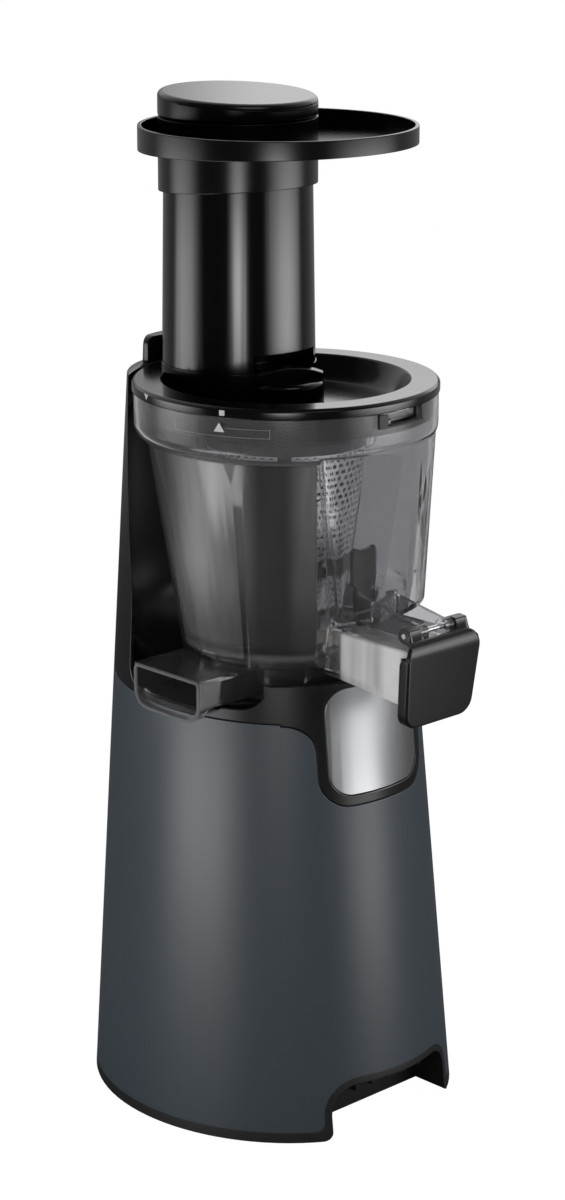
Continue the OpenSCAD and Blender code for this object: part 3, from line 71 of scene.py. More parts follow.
# %% Camera
camera_data = bpy.data.cameras.new("camera")
camera_data.lens = 90
camera_data.sensor_width = 36
camera = bpy.data.objects.new("camera", camera_data)
bpy.context.scene.collection.objects.link(camera)
view_turn, view_drop = math.radians(-44), math.radians(16.053)
camera.location = (-1.10094, -1.13743, 0.7377)
camera.rotation_euler = (math.pi / 2 - view_drop, 0, view_turn)
bpy.context.scene.camera = camera
print("camera distance in m:", round(camera.location.length, 2))

# %% [markdown]
# ## Colours and nodes
# Paint and plastic colours are written as sRGB hex values, as a colour card gives them. Blender
# computes with linear light, so one function turns them over. A second small function adds a
# node with its settings and its links, which keeps each material short. A third starts a
# material, and a fourth puts a finished mesh on the body that carries it.

# %% Colour and node helpers
MM = 0.001


def linear(code):
    channels = [int(code[i:i + 2], 16) / 255 for i in (1, 3, 5)]
    return tuple(c / 12.92 if c <= 0.04045 else ((c + 0.055) / 1.055) ** 2.4 for c in channels) + (1.0,)


def add(tree, kind, inputs=None, **settings):
    """Adds a node. An input is a number, a colour, a socket, or a node whose first output it takes."""
    node = tree.nodes.new(kind)
    for setting, value in settings.items():
        setattr(node, setting, value)
    for socket, value in (inputs or {}).items():
        if isinstance(value, bpy.types.Node):
            value = value.outputs[0]
        if isinstance(value, bpy.types.NodeSocket):
            tree.links.new(value, node.inputs[socket])
        else:
            node.inputs[socket].default_value = value
    return node


def finish(name, colour, roughness, **sockets):
    """Starts a material from its colour, its roughness and other sockets of the shader."""
    made = bpy.data.materials.new(name)
    made.use_nodes = True
    shader = made.node_tree.nodes["Principled BSDF"]
    shader.inputs["Base Color"].default_value = linear(colour)
    shader.inputs["Roughness"].default_value = roughness
    for socket, value in sockets.items():
        shader.inputs[socket.replace("_", " ")].default_value = value
    return made, made.node_tree, shader


def carried(name, mesh, body):
    """Puts a finished mesh in the scene as a piece that rides on a body."""
    piece = bpy.data.objects.new(name, mesh)
    bpy.context.scene.collection.objects.link(piece)
    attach(piece, body)
    return piece


print("slate in linear light:", [round(c, 3) for c in linear("#363E45")])

# %% [markdown]
# ## Moulded plastics
# The base is ABS, sprayed in satin slate: an even colour with a very fine grain that spreads a
# highlight into a soft vertical band. The lid, tube, tray and pusher are ABS from a polished
# mould: black and glossy, with the faint waviness of every large moulding. The foot, the brush
# and the auger come from a spark-eroded mould, which leaves a fine matt grain.

# %% Moulded materials
def grained(name, colour, roughness, grain_mm, depth_mm, spread=0.05, **sockets):
    """One noise varies the gloss by the spread and raises a shallow grain."""
    made, tree, shader = finish(name, colour, roughness, **sockets)
    spot = add(tree, "ShaderNodeTexCoord").outputs["Object"]
    grain = add(tree, "ShaderNodeTexNoise", {"Vector": spot, "Scale": 1 / (grain_mm * MM), "Detail": 2.0})
    gloss = add(tree, "ShaderNodeMapRange",
                {"Value": grain, "To Min": roughness - spread, "To Max": roughness + spread})
    bump = add(tree, "ShaderNodeBump", {"Height": grain, "Strength": 0.6, "Distance": depth_mm * MM})
    tree.links.new(gloss.outputs[0], shader.inputs["Roughness"])
    tree.links.new(bump.outputs[0], shader.inputs["Normal"])
    return made


# satin paint with a grain of 0.8 mm, drawn coarser than the real 0.2 mm so that it shows
slate_paint = grained("satin_slate_on_abs", "#363E45", 0.38, 0.8, 0.010, Specular_IOR_Level=0.72)
# polished mould: waviness of about 25 mm, a few hundredths of a millimetre deep
gloss_abs = grained("polished_black_abs", "#0B0B0C", 0.14, 25, 0.02, 0.02)
# satin mould: a fine grain that dulls the mirror
soft_gloss_abs = grained("satin_black_abs", "#101011", 0.30, 1.0, 0.006)
satin_abs = grained("fine_satin_black_abs", "#0D0D0E", 0.22, 1.2, 0.004, 0.03)
# spark-eroded mould: matt, with a grain that can be felt
eroded_abs = grained("eroded_black_abs", "#161617", 0.48, 0.9, 0.020)
print("moulded plastics:", slate_paint.name, gloss_abs.name, soft_gloss_abs.name, eroded_abs.name)

# %% [markdown]
# ## Clear smoky plastic
# The bowl is SAN copolymer with a grey dye, about 2.5 mm thick. The mould is polished where the
# juice chamber and the strainer should be seen, and lightly frosted on the left and on the side of
# the juice spout, where faint upright flow lines show. Two lighter upright bands in the left frost
# are painted highlights: painted reflections of lamps, the wider one of the left soft box. Frost is
# a share of plain scattered light beside the clear share, so it is set through Transmission Weight.
# Lamps reach what stands inside: for their shadow rays the wall is a plain filter.

# %% Light of lamps through a clear wall
def lamps_pass(made, filter_colour):
    """For the shadow rays of lamps the wall only filters, with the colour of its dye."""
    tree = made.node_tree
    shadow = add(tree, "ShaderNodeLightPath").outputs["Is Shadow Ray"]
    clear = add(tree, "ShaderNodeBsdfTransparent", {"Color": linear(filter_colour)})
    both = add(tree, "ShaderNodeMixShader", {0: shadow, 1: tree.nodes["Principled BSDF"], 2: clear})
    tree.links.new(both.outputs[0], tree.nodes["Material Output"].inputs["Surface"])


# thin walls hardly shift what is behind them, so the wall bends light little and a coat mirrors it
smoke, smoke_tree, smoke_shader = finish("smoky_san", "#B0B0B2", 0.04, IOR=1.18,
                                         Coat_Weight=0.4, Coat_Roughness=0.08)
print("clear plastic:", smoke.name)

# %% [markdown]
# Where the frost lies is worked out from places on the bowl. One measure runs across the bowl,
# along a line from its left to its right side as the camera sees it; the others are height and
# depth. Soft steps on these measures are the edges of the frosted fields and of two painted
# highlights, lighter upright bands in the left frost that stand for reflections of the soft boxes.
# A short list of sums joins them.

# %% Soft edges of the frost and of the painted highlights
smoke_spot = add(smoke_tree, "ShaderNodeTexCoord").outputs["Object"]
measures = add(smoke_tree, "ShaderNodeSeparateXYZ", {"Vector": smoke_spot}).outputs
along_x = add(smoke_tree, "ShaderNodeMath", {0: measures["X"], 1: 0.719}, operation="MULTIPLY")
along_y = add(smoke_tree, "ShaderNodeMath", {0: measures["Y"], 1: -0.695}, operation="MULTIPLY")
across = add(smoke_tree, "ShaderNodeMath", {0: along_x, 1: along_y}, operation="ADD")
# flow lines about 12 mm apart, drawn out upwards
upright = add(smoke_tree, "ShaderNodeMapping", {"Vector": smoke_spot, "Scale": (1, 1, 0.06)})
lines = add(smoke_tree, "ShaderNodeTexNoise", {"Vector": upright, "Scale": 1 / (12 * MM), "Detail": 2.0})
# name: what is measured, where the step starts and ends, and the share before and after it
soft_steps = {
    "streaks": (lines, 0.3, 0.7, 0.75, 1.2),
    # the next four steps place two painted highlights: lighter upright bands at fixed places across the view
    "fold_rise": (across, -68 * MM, -46 * MM, 0.15, 1.0),
    "fold_fall": (across, -40 * MM, -10 * MM, 1.0, 0.0),
    "middle_fold": (across, -2 * MM, 13 * MM, 0.05, 0.5),
    "fold_foot": (measures["Z"], 275 * MM, 320 * MM, 0.35, 1.0),
    "left_edge": (across, 15 * MM, 17 * MM, 1.0, 0.0),
    "left_foot": (measures["Z"], 262 * MM, 275 * MM, 0.0, 1.0),
    "left_top": (measures["Z"], 374 * MM, 378 * MM, 1.0, 0.04),
    "spout_edge": (measures["Y"], -66 * MM, -62 * MM, 1.0, 0.0),
    "spout_top": (measures["Z"], 280 * MM, 284 * MM, 1.0, 0.0),
}
share = {}
for name, (value, start, end, before, after) in soft_steps.items():
    limits = {"Value": value, "From Min": start, "From Max": end, "To Min": before, "To Max": after}
    share[name] = add(smoke_tree, "ShaderNodeMapRange", limits, interpolation_type="SMOOTHSTEP")
print("soft edges:", len(share))

# %% Sums of the frost and of the painted highlights
sums = (
    # the two bands of painted highlight, broken by the flow lines and softened towards the foot
    ("painted_highlight", "MULTIPLY", "fold_rise", "fold_fall"),
    ("painted_highlight", "MAXIMUM", "painted_highlight", "middle_fold"),
    ("painted_highlight", "MULTIPLY", "painted_highlight", "streaks"),
    ("painted_highlight", "MULTIPLY", "painted_highlight", "fold_foot"),
    ("left_side", "MULTIPLY", "left_edge", "left_foot"),
    ("left_side", "MULTIPLY", "left_side", "left_top"),
    ("spout_side", "MULTIPLY", "spout_edge", "spout_top"),
    ("frost", "MAXIMUM", "left_side", "spout_side"),
    ("frost", "MULTIPLY", "frost", 0.68),
    ("clear", "SUBTRACT", 0.97, "frost"),
    # a lighter tone in the frost colour where the painted highlights lie
    ("highlight_tone", "MULTIPLY", "painted_highlight", 0.26),
    ("spout_tone", "MULTIPLY", "streaks", 0.62),
    ("spout_tone", "MULTIPLY", "spout_side", "spout_tone"),
    ("tone", "MAXIMUM", "highlight_tone", "spout_tone"),
    ("tone", "ADD", "tone", 0.04),
)
for result, operation, first, second in sums:
    pair = {0: share.get(first, first), 1: share.get(second, second)}
    share[result] = add(smoke_tree, "ShaderNodeMath", pair, operation=operation)
frosted = add(smoke_tree, "ShaderNodeMapRange", {"Value": share["frost"], "From Max": 0.4},
              interpolation_type="SMOOTHSTEP")
# where frosted, the colour is the frost tone, painted highlights included, in place of the grey dye
# 6 and 7 are the two colours of a Mix node, and its third output is the mixed colour
dye = add(smoke_tree, "ShaderNodeMix",
          {"Factor": frosted, 6: linear("#B0B0B2"), 7: share["tone"]}, data_type="RGBA")
smoke_tree.links.new(dye.outputs[2], smoke_shader.inputs["Base Color"])
smoke_tree.links.new(share["clear"].outputs[0], smoke_shader.inputs["Transmission Weight"])
print("sums:", len(sums))

# %% Waves of the clear walls
def wavy(tree, shader, stretch, scale, strength, depth_mm):
    """The slow upright waves that a moulded clear wall keeps from the flow of the melt."""
    spot = add(tree, "ShaderNodeTexCoord").outputs["Object"]
    drawn_out = add(tree, "ShaderNodeMapping", {"Vector": spot, "Scale": (1, 1, stretch)})
    flow = add(tree, "ShaderNodeTexNoise", {"Vector": drawn_out, "Scale": scale, "Detail": 1.0})
    bump = add(tree, "ShaderNodeBump", {"Height": flow, "Strength": strength, "Distance": depth_mm * MM})
    tree.links.new(bump.outputs[0], shader.inputs["Normal"])


wavy(smoke_tree, smoke_shader, 0.25, 45.0, 0.4, 0.06)
lamps_pass(smoke, "#F6F6F6")
# the brush frame is of the same plastic with less dye, so that the screen shows through it
pale_smoke, pale_tree, pale_shader = finish("pale_smoky_san", "#EEEEF0", 0.05,
                                            Transmission_Weight=0.97, IOR=1.03)
wavy(pale_tree, pale_shader, 0.3, 60.0, 0.2, 0.05)
lamps_pass(pale_smoke, "#FAFAFA")
print("clear plastics:", smoke.name, pale_smoke.name)

# %% [markdown]
# ## Metals and soft parts
# Brushed steel has scratches along one direction: noise stretched a hundred times along the
# brushing makes them. Silicone is matt and slightly lighter at grazing angles, which is sheen.

# %% Metals, silicone and the rest
def brushed(name, colour, roughness, stretch, depth_mm):
    """Scratches 0.6 mm apart, drawn coarser than real ones so that they show."""
    made, tree, shader = finish(name, colour, roughness, Metallic=1.0)
    spot = add(tree, "ShaderNodeTexCoord").outputs["Object"]
    drawn_out = add(tree, "ShaderNodeMapping", {"Vector": spot, "Scale": stretch})
    scratches = add(tree, "ShaderNodeTexNoise", {"Vector": drawn_out, "Scale": 1 / (0.6 * MM), "Detail": 3.0})
    gloss = add(tree, "ShaderNodeMapRange",
                {"Value": scratches, "To Min": roughness - 0.06, "To Max": roughness + 0.08})
    bump = add(tree, "ShaderNodeBump", {"Height": scratches, "Strength": 0.5, "Distance": depth_mm * MM})
    tree.links.new(gloss.outputs[0], shader.inputs["Roughness"])
    tree.links.new(bump.outputs[0], shader.inputs["Normal"])
    return made


# stretch: a small number along an axis draws the scratches out along it
plate_steel = brushed("brushed_steel_plate", "#B4B5B7", 0.32, (1, 1, 0.01), 0.004)
screen_steel = brushed("etched_steel_screen", "#F6F6F6", 0.45, (0.05, 0.05, 1), 0.004)
ground_steel = brushed("ground_steel", "#BDBEC0", 0.25, (1, 1, 0.05), 0.003)
cast_metal = grained("die_cast_aluminium", "#A3A4A6", 0.45, 1.5, 0.03, Metallic=1.0)
laminated = brushed("laminated_core_steel", "#6E6F72", 0.45, (0.02, 0.02, 1), 0.02)
copper = brushed("enamelled_copper_wire", "#B8683C", 0.3, (0.05, 0.05, 1), 0.03)
# silicone: the blades are clear and soft, the seals grey and matt
clear_silicone = grained("translucent_silicone", "#EDEDEF", 0.14, 1.5, 0.004,
                         Transmission_Weight=0.9, IOR=1.04)
silicone = grained("grey_silicone", "#2B2B2D", 0.6, 1.2, 0.01, Sheen_Weight=0.3)
# nylon: self-coloured and slightly waxy, matt where glass fibre fills it
nylon = grained("natural_gear_nylon", "#D9D3C3", 0.42, 1.2, 0.01)
filled_nylon = grained("glass_filled_nylon", "#2A2B2D", 0.5, 1.0, 0.02)
board_green = grained("solder_mask_green", "#1E5A38", 0.3, 2.0, 0.01)
can_white = grained("capacitor_can_white", "#CFCFCB", 0.35, 2.0, 0.01)
print("other finishes:", [m.name for m in (plate_steel, screen_steel, silicone, nylon)])

# %% [markdown]
# ## Dressing the solids
# Each solid keeps its shape and gets the finish that its real piece has.

# %% Assign the finishes
dress = {
    slate_paint: ["lower_housing"],
    gloss_abs: ["lid", "feed_tube", "lid_knob"],
    satin_abs: ["feed_tray", "pusher_head"],
    soft_gloss_abs: ["upper_housing", "tower_cap", "spout_cap", "rocker_switch", "pusher_body"],
    eroded_abs: ["base_cover", "switch_bezel", "cord_inlet", "strainer_frame", "auger_core",
                 "auger_flights", "lid_microswitch"],
    pale_smoke: ["brush_frame"],
    plate_steel: ["front_plate"],
    screen_steel: ["strainer_screen"],
    smoke: ["juicing_bowl"],
    silicone: ["rubber_feet", "shaft_seal", "bowl_seal", "cap_seal"],
    clear_silicone: ["wiper_blades"],
    ground_steel: ["drive_shaft", "countershaft", "motor_pinion", "motor_shaft", "gearbox_screws",
                   "motor_bolts", "cap_hinge_pin", "shaft_bearings", "motor_bearings"],
    laminated: ["motor_rotor", "motor_stator"],
    copper: ["stator_windings"],
    cast_metal: ["motor_end_bells"],
    filled_nylon: ["gearbox_case", "gearbox_cover", "cooling_fan"],
    nylon: ["output_gear", "countershaft_gears", "idler_pinion_left", "idler_pinion_right", "auger_bush"],
    board_green: ["control_board"],
    can_white: ["run_capacitor"],
}
for material, names in dress.items():
    for name in names:
        mesh = nodes[name].data
        mesh.materials.clear()
        mesh.materials.append(material)
print("dressed:", sum(len(names) for names in dress.values()), "of", len(nodes))

# %% [markdown]
# ## Rounded edges
# No moulding has knife edges: each one is eased by a few tenths of a millimetre, and that line of
# light is what makes it look moulded. A bevel on the copied solid, with the flat faces keeping
# their own direction, gives the same line. Wide roundings are asked for edge by edge.

# %% The body's true directions
# the body is an oval that narrows upwards: its sizes at the table, and its growth up to 406 mm
OVAL_FOOT = (96.9, 106.9, 11.3)
OVAL_GROWTH = (-27.8 / 406, -30.7 / 406, 8.7 / 406)


def oval_normals(mesh):
    """On the tapered oval of the base the facets get the direction of the true curved wall."""
    grow_x, grow_y, drift = OVAL_GROWTH
    normals = []
    for face in mesh.polygons:
        for corner in face.loop_indices:
            x, y, z = mesh.vertices[mesh.loops[corner].vertex_index].co / MM
            half_x, half_y, centre = (foot + grow * z for foot, grow in zip(OVAL_FOOT, OVAL_GROWTH))
            u, v = x / half_x, (y - centre) / half_y
            rise = -u * u * grow_x / half_x - v * (v * grow_y + drift) / half_y
            true = Vector((u / half_x, v / half_y, rise)).normalized()
            near = abs(u * u + v * v - 1) < 0.006 and true.dot(face.normal) > 0.985
            normals.append(true if near else Vector())
    return normals


print("body narrows to mm:", [round(f + g * 406, 1) for f, g in zip(OVAL_FOOT, OVAL_GROWTH)])

# %% [markdown]
# Three things are asked of a copy before its edges are eased. Its triangles merge into whole flat
# faces. Faces that run round an opening are cut into simple ones, because a ring that is one face
# can turn over when its edges move. And a piece whose form is rounder than its solid is reshaped.

# %% Copies with eased edges
SHARPEST, MERGED = math.radians(34), math.radians(0.3)


def is_outer(edge):
    """An outward edge, sharp enough to be rounded."""
    return len(edge.link_faces) == 2 and edge.is_convex and edge.calc_face_angle() > SHARPEST


def eased(name, node, width, wide=(), turn=30, reshape=None, oval=False, split=None):
    """Copies a solid, merges it, rounds its outer edges and shades it smooth between them."""
    source = nodes[node]
    shape = bmesh.new()
    shape.from_mesh(source.data)
    bmesh.ops.remove_doubles(shape, verts=shape.verts, dist=0.002 * MM)
    bmesh.ops.dissolve_limit(shape, angle_limit=MERGED, verts=shape.verts, edges=shape.edges)
    if split:
        rings = [f for f in shape.faces if len(f.verts) > 4 and split(f.normal)]
        bmesh.ops.connect_verts_concave(shape, faces=rings)
    if reshape:
        reshape(shape)
    roundings = [(offset, 5, pick) for offset, pick in wide]
    if width:
        roundings.append((width, 2, any_place))
    for offset, segments, pick in roundings:
        chosen = [e for e in shape.edges if is_outer(e) and all(pick(v.co / MM) for v in e.verts)]
        bmesh.ops.bevel(shape, geom=chosen, offset=offset * MM, segments=segments, profile=0.5,
                        affect="EDGES", clamp_overlap=False)
    mesh = bpy.data.meshes.new(name)
    shape.to_mesh(mesh)
    shape.free()
    mesh.shade_smooth()
    mesh.set_sharp_from_angle(angle=math.radians(turn))
    mesh.materials.append(source.data.materials[0])
    piece = carried(name, mesh, source["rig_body"])
    if oval:
        mesh.normals_split_custom_set(oval_normals(mesh))
    else:
        flats = piece.modifiers.new("flats", "WEIGHTED_NORMAL")
        flats.keep_sharp = True
    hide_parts(node)
    return piece


def any_place(point):
    return True


def any_way(normal):
    return True


def backward(normal):
    return normal.y > 0.5


print("edges are rounded from degrees:", round(math.degrees(SHARPEST)))

# %% [markdown]
# ## The spout cap
# The cap is a flap whose front rolls back over its top edge, towards the hinge. Its solid has a
# square top edge. The copy is stood upright, cut into level bands at the top, and each band moves
# back along an arc, which is what a large rounding does and a bevel of that size can't.

# %% Shape of the cap's top
CAP_HINGE, CAP_LEAN = Vector((0, -110, 289.5)) * MM, math.radians(6)
CAP_FRONT_Y, CAP_WALL = -121, 1.2
ROLL_START, ROLL_HEIGHT, ROLL_BACK = 278, 10.5, 6
ROLL_CUTS = (278.5, 280, 281.5, 283, 284.5, 286, 287.2)


def roll_top(shape):
    """Rolls the front back over the top. The cap leans 6 degrees, so it is stood upright first."""
    bmesh.ops.rotate(shape, matrix=Matrix.Rotation(-CAP_LEAN, 3, "X"), cent=CAP_HINGE, verts=shape.verts)
    for height in ROLL_CUTS:
        everything = shape.verts[:] + shape.edges[:] + shape.faces[:]
        bmesh.ops.bisect_plane(shape, geom=everything, dist=1e-6,
                               plane_co=Vector((0, 0, height)) * MM, plane_no=(0, 0, 1))
    for vert in shape.verts:
        height = vert.co.z / MM
        part = min(max((height - ROLL_START) / ROLL_HEIGHT, 0), 1)
        front = CAP_FRONT_Y + ROLL_BACK * (1 - math.sqrt(1 - part * part))
        if vert.co.y / MM < CAP_FRONT_Y + 0.6:
            vert.co.y = front * MM
        elif height > ROLL_START + 2:
            vert.co.y = max(vert.co.y, (front + CAP_WALL) * MM)
    bmesh.ops.rotate(shape, matrix=Matrix.Rotation(CAP_LEAN, 3, "X"), cent=CAP_HINGE, verts=shape.verts)


def cap_front(p):
    return p.y < -112 and p.z < 284.5


def cap_ears(p):
    return p.z > 284.5 and abs(p.x) > 12


print("cap leans in degrees:", round(math.degrees(CAP_LEAN)))

# %% Eased copies of the visible pieces
def pulp_mouth(p):
    return p.x < -87


eased("sprayed_shell", "lower_housing", 0.3, oval=True, split=any_way)
eased("black_shell", "upper_housing", 0.7, oval=True, split=any_way)
eased("tower_top", "tower_cap", 0.5, oval=True, split=any_way)
eased("foot_moulding", "base_cover", 0.35, split=any_way)
eased("steel_plate", "front_plate", 0.2)
eased("smoky_bowl", "juicing_bowl", 0.0, wide=[(0.9, pulp_mouth)])
eased("flap_cap", "spout_cap", 0.0, wide=[(1.8, cap_front), (0.6, cap_ears)], turn=40,
      reshape=roll_top, split=backward)
eased("lid_moulding", "lid", 0.4)
eased("tube_moulding", "feed_tube", 0.3)
eased("turning_knob", "lid_knob", 0.4)
eased("tray_moulding", "feed_tray", 0.5)
eased("pusher_cap", "pusher_head", 0.3)
for name in ("pusher_body", "brush_frame", "strainer_frame", "auger_core", "auger_flights"):
    eased(name + "_smooth", name, 0.0)

# %% [markdown]
# ## The perforated screen
# The strainer is a cone of thin steel with rows of round holes, each row half a step beside the
# last. Geometry Nodes lay one pierced tile on a flat lattice, weld the tiles and then roll the
# sheet into the cone, so that every hole stays whole at the seams.

# %% One pierced tile
def pierced_tile(hole, sides=12):
    """A six-sided tile, one step wide, with a round hole. The tile's sides are split at their middles."""
    mesh = bpy.data.meshes.new("pierced_tile")
    corner, middle = 0.5 / math.cos(math.pi / 6), 0.5
    rim, inner = [], []
    for i in range(sides):
        turn = 2 * math.pi * i / sides + math.pi / 6
        reach = corner if i % 2 == 0 else middle
        rim.append((reach * math.cos(turn), reach * math.sin(turn), 0))
        inner.append((hole * math.cos(turn), hole * math.sin(turn), 0))
    faces = [(i, (i + 1) % sides, sides + (i + 1) % sides, sides + i) for i in range(sides)]
    mesh.from_pydata(rim + inner, [], faces)
    return bpy.data.objects.new("pierced_tile", mesh)


tile = pierced_tile(0.29)
print("faces of a tile:", len(tile.data.polygons))

# %% Inputs of the screen's tree
screen_tree = bpy.data.node_groups.new("perforated_cone", "GeometryNodeTree")
screen_tree.interface.new_socket("Geometry", in_out="OUTPUT", socket_type="NodeSocketGeometry")
screen_sizes = {"Foot radius": 0.0302, "Head radius": 0.0437, "Foot height": 0.2795, "Head height": 0.376,
                "Columns": 56, "Rows": 28}
screen_inputs = {}
for label, size in screen_sizes.items():
    kind = "NodeSocketInt" if isinstance(size, int) else "NodeSocketFloat"
    socket = screen_tree.interface.new_socket(label, in_out="INPUT", socket_type=kind)
    socket.default_value = size
    screen_inputs[label] = socket.identifier
sized = add(screen_tree, "NodeGroupInput").outputs
print("inputs:", list(screen_inputs))

# %% [markdown]
# A list of sums gives each tile its place on the flat lattice: its row and column follow from its
# number, every second row moves half a step, and rows stand closer than columns, as in a
# honeycomb. A second list rolls the sheet up: a place along the sheet becomes an angle.

# %% Flat lattice of tiles
ROW_STEP = math.sqrt(3) / 2
term = {label: sized[label] for label in screen_sizes}
term["number"] = add(screen_tree, "GeometryNodeInputIndex")
lattice = (
    ("row", "DIVIDE", "number", "Columns"),
    ("row", "FLOOR", "row", 0.0),
    ("row_start", "MULTIPLY", "row", "Columns"),
    ("column", "SUBTRACT", "number", "row_start"),
    ("odd_row", "MODULO", "row", 2.0),
    ("half_step", "MULTIPLY", "odd_row", 0.5),
    ("along", "ADD", "column", "half_step"),
    ("up", "MULTIPLY", "row", ROW_STEP),
    ("tiles", "MULTIPLY", "Columns", "Rows"),
    ("last_row", "SUBTRACT", "Rows", 1.0),
    ("top", "MULTIPLY", "last_row", ROW_STEP),
)
for result, operation, first, second in lattice:
    pair = {0: term.get(first, first), 1: term.get(second, second)}
    term[result] = add(screen_tree, "ShaderNodeMath", pair, operation=operation)
spots = add(screen_tree, "ShaderNodeCombineXYZ", {"X": term["along"], "Y": term["up"]})
points = add(screen_tree, "GeometryNodePoints", {"Count": term["tiles"], "Position": spots})
pierced = add(screen_tree, "GeometryNodeObjectInfo", {"Object": tile}).outputs["Geometry"]
laid = add(screen_tree, "GeometryNodeInstanceOnPoints", {"Points": points, "Instance": pierced})
sheet = add(screen_tree, "GeometryNodeRealizeInstances", {"Geometry": laid})
print("sums of the lattice:", len(lattice))

# %% Roll the sheet into the cone
flat_spot = add(screen_tree, "GeometryNodeInputPosition")
flat = add(screen_tree, "ShaderNodeSeparateXYZ", {"Vector": flat_spot}).outputs
term["x"] = flat["X"]
for what in ("radius", "height"):
    foot_to_head = {"Value": flat["Y"], "From Max": term["top"],
                    "To Min": sized["Foot " + what], "To Max": sized["Head " + what]}
    term[what] = add(screen_tree, "ShaderNodeMapRange", foot_to_head, clamp=False)
rolling = (
    ("turn", "DIVIDE", "x", "Columns"),
    ("turn", "MULTIPLY", "turn", 2 * math.pi),
    ("cosine", "COSINE", "turn", 0.0),
    ("sine", "SINE", "turn", 0.0),
    ("round_x", "MULTIPLY", "radius", "cosine"),
    ("round_y", "MULTIPLY", "radius", "sine"),
)
for result, operation, first, second in rolling:
    pair = {0: term.get(first, first), 1: term.get(second, second)}
    term[result] = add(screen_tree, "ShaderNodeMath", pair, operation=operation)
rolled = add(screen_tree, "ShaderNodeCombineXYZ",
             {"X": term["round_x"], "Y": term["round_y"], "Z": term["height"]})
cone = add(screen_tree, "GeometryNodeSetPosition", {"Geometry": sheet, "Position": rolled})
welded = add(screen_tree, "GeometryNodeMergeByDistance", {"Geometry": cone, "Distance": 0.02 * MM})
real = add(screen_tree, "GeometryNodeRealizeInstances", {"Geometry": welded})
dressed = add(screen_tree, "GeometryNodeSetMaterial", {"Geometry": real, "Material": screen_steel})
add(screen_tree, "NodeGroupOutput", {"Geometry": dressed})
print("nodes in the tree:", len(screen_tree.nodes))


# %% From the tree to a plain mesh
def grown(name, tree, inputs, values, body):
    """Runs a tree with its sizes, and keeps the result as a plain mesh that rides on a body."""
    holder = bpy.data.objects.new(name + "_tree", bpy.data.meshes.new(name + "_tree"))
    bpy.context.scene.collection.objects.link(holder)
    modifier = holder.modifiers.new("tree", "NODES")
    modifier.node_group = tree
    for label, value in values.items():
        modifier[inputs[label]] = value
    holder.update_tag()
    graph = bpy.context.evaluated_depsgraph_get()
    mesh = bpy.data.meshes.new_from_object(holder.evaluated_get(graph))
    holder.modifiers.remove(modifier)
    bpy.data.objects.remove(holder)
    return carried(name, mesh, body)


screen = grown("perforated_screen", screen_tree, screen_inputs, screen_sizes, "bowl")
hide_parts("strainer_screen")
wall = screen.modifiers.new("sheet", "SOLIDIFY")
wall.thickness = 0.5 * MM
wall.offset = -1
print("screen faces:", len(screen.data.polygons))

# %% [markdown]
# ## Printed marks
# Small white marks on the lid and on the bowl show where to set the lid and which way to turn
# it. They are pad printed: flat shapes laid on the curved wall, a few hundredths of a
# millimetre proud.

# %% White ink and a printed shape
ink = grained("white_pad_print", "#D6D6D6", 0.5, 0.6, 0.004)
grey_line = grained("grey_pad_print", "#8C8C8C", 0.5, 0.6, 0.004)


def wall_point(turn, height, radius):
    """The place at an angle in degrees, a height and a radius in mm."""
    a = math.radians(turn)
    return radius * math.cos(a) * MM, radius * math.sin(a) * MM, height * MM


def printed(name, outlines, radius, body, material):
    """Outlines are lists of (degrees round the axis, height in mm), each a filled shape."""
    mesh = bpy.data.meshes.new(name)
    points, faces = [], []
    for outline in outlines:
        faces.append(tuple(range(len(points), len(points) + len(outline))))
        points.extend(wall_point(turn, height, radius) for turn, height in outline)
    mesh.from_pydata(points, [], faces)
    mesh.materials.append(material)
    return carried(name, mesh, body)


def strip(turn_a, turn_b, low, high, step=4):
    """A band on the wall, cut into short flat pieces."""
    count = max(1, math.ceil(abs(turn_b - turn_a) / step))
    turns = [turn_a + (turn_b - turn_a) * i / count for i in range(count + 1)]
    return [[(a, low), (b, low), (b, high), (a, high)] for a, b in zip(turns, turns[1:])]


print("inks:", ink.name, grey_line.name)

# %% Marks on lid and bowl
LID_WALL, BOWL_WALL = 83.05, 82.35
lid_marks = [[(162.2, 405.8), (163.8, 402.8), (165.4, 405.8)]] + strip(-158.5, -156.4, 402.6, 405.4)
printed("lid_marks", lid_marks, LID_WALL, "lid", ink)
bowl_marks = [[(-160.9, 393.8), (-156.7, 393.8), (-158.8, 398.6)]]
printed("bowl_mark", bowl_marks, BOWL_WALL, "bowl", ink)
frame_lines = (strip(-156.5, -139.7, 395.9, 396.1) + strip(-178.5, -139.7, 391.5, 391.7)
               + strip(-139.9, -139.7, 391.6, 396.0) + strip(-178.7, -178.5, 391.6, 396.0))
printed("bowl_mark_frame", frame_lines, BOWL_WALL, "bowl", grey_line)
print("printed shapes:", len(lid_marks) + len(bowl_marks) + len(frame_lines))

# %% [markdown]
# ## Small pieces round the bowl
# The brush frame has a black clip that holds its blade, and the lid has a black hook that slides
# into the bowl's slot. Each is a thin plate bent round the juicer's axis, so one function draws
# the flat outline, cuts it into narrow upright strips, thickens it and then bends it.

# %% Bent plates
# the plates face the camera's right, where they span these angles
STRIP_CUTS = [turn + 0.5 for turn in range(-96, -70, 3)]


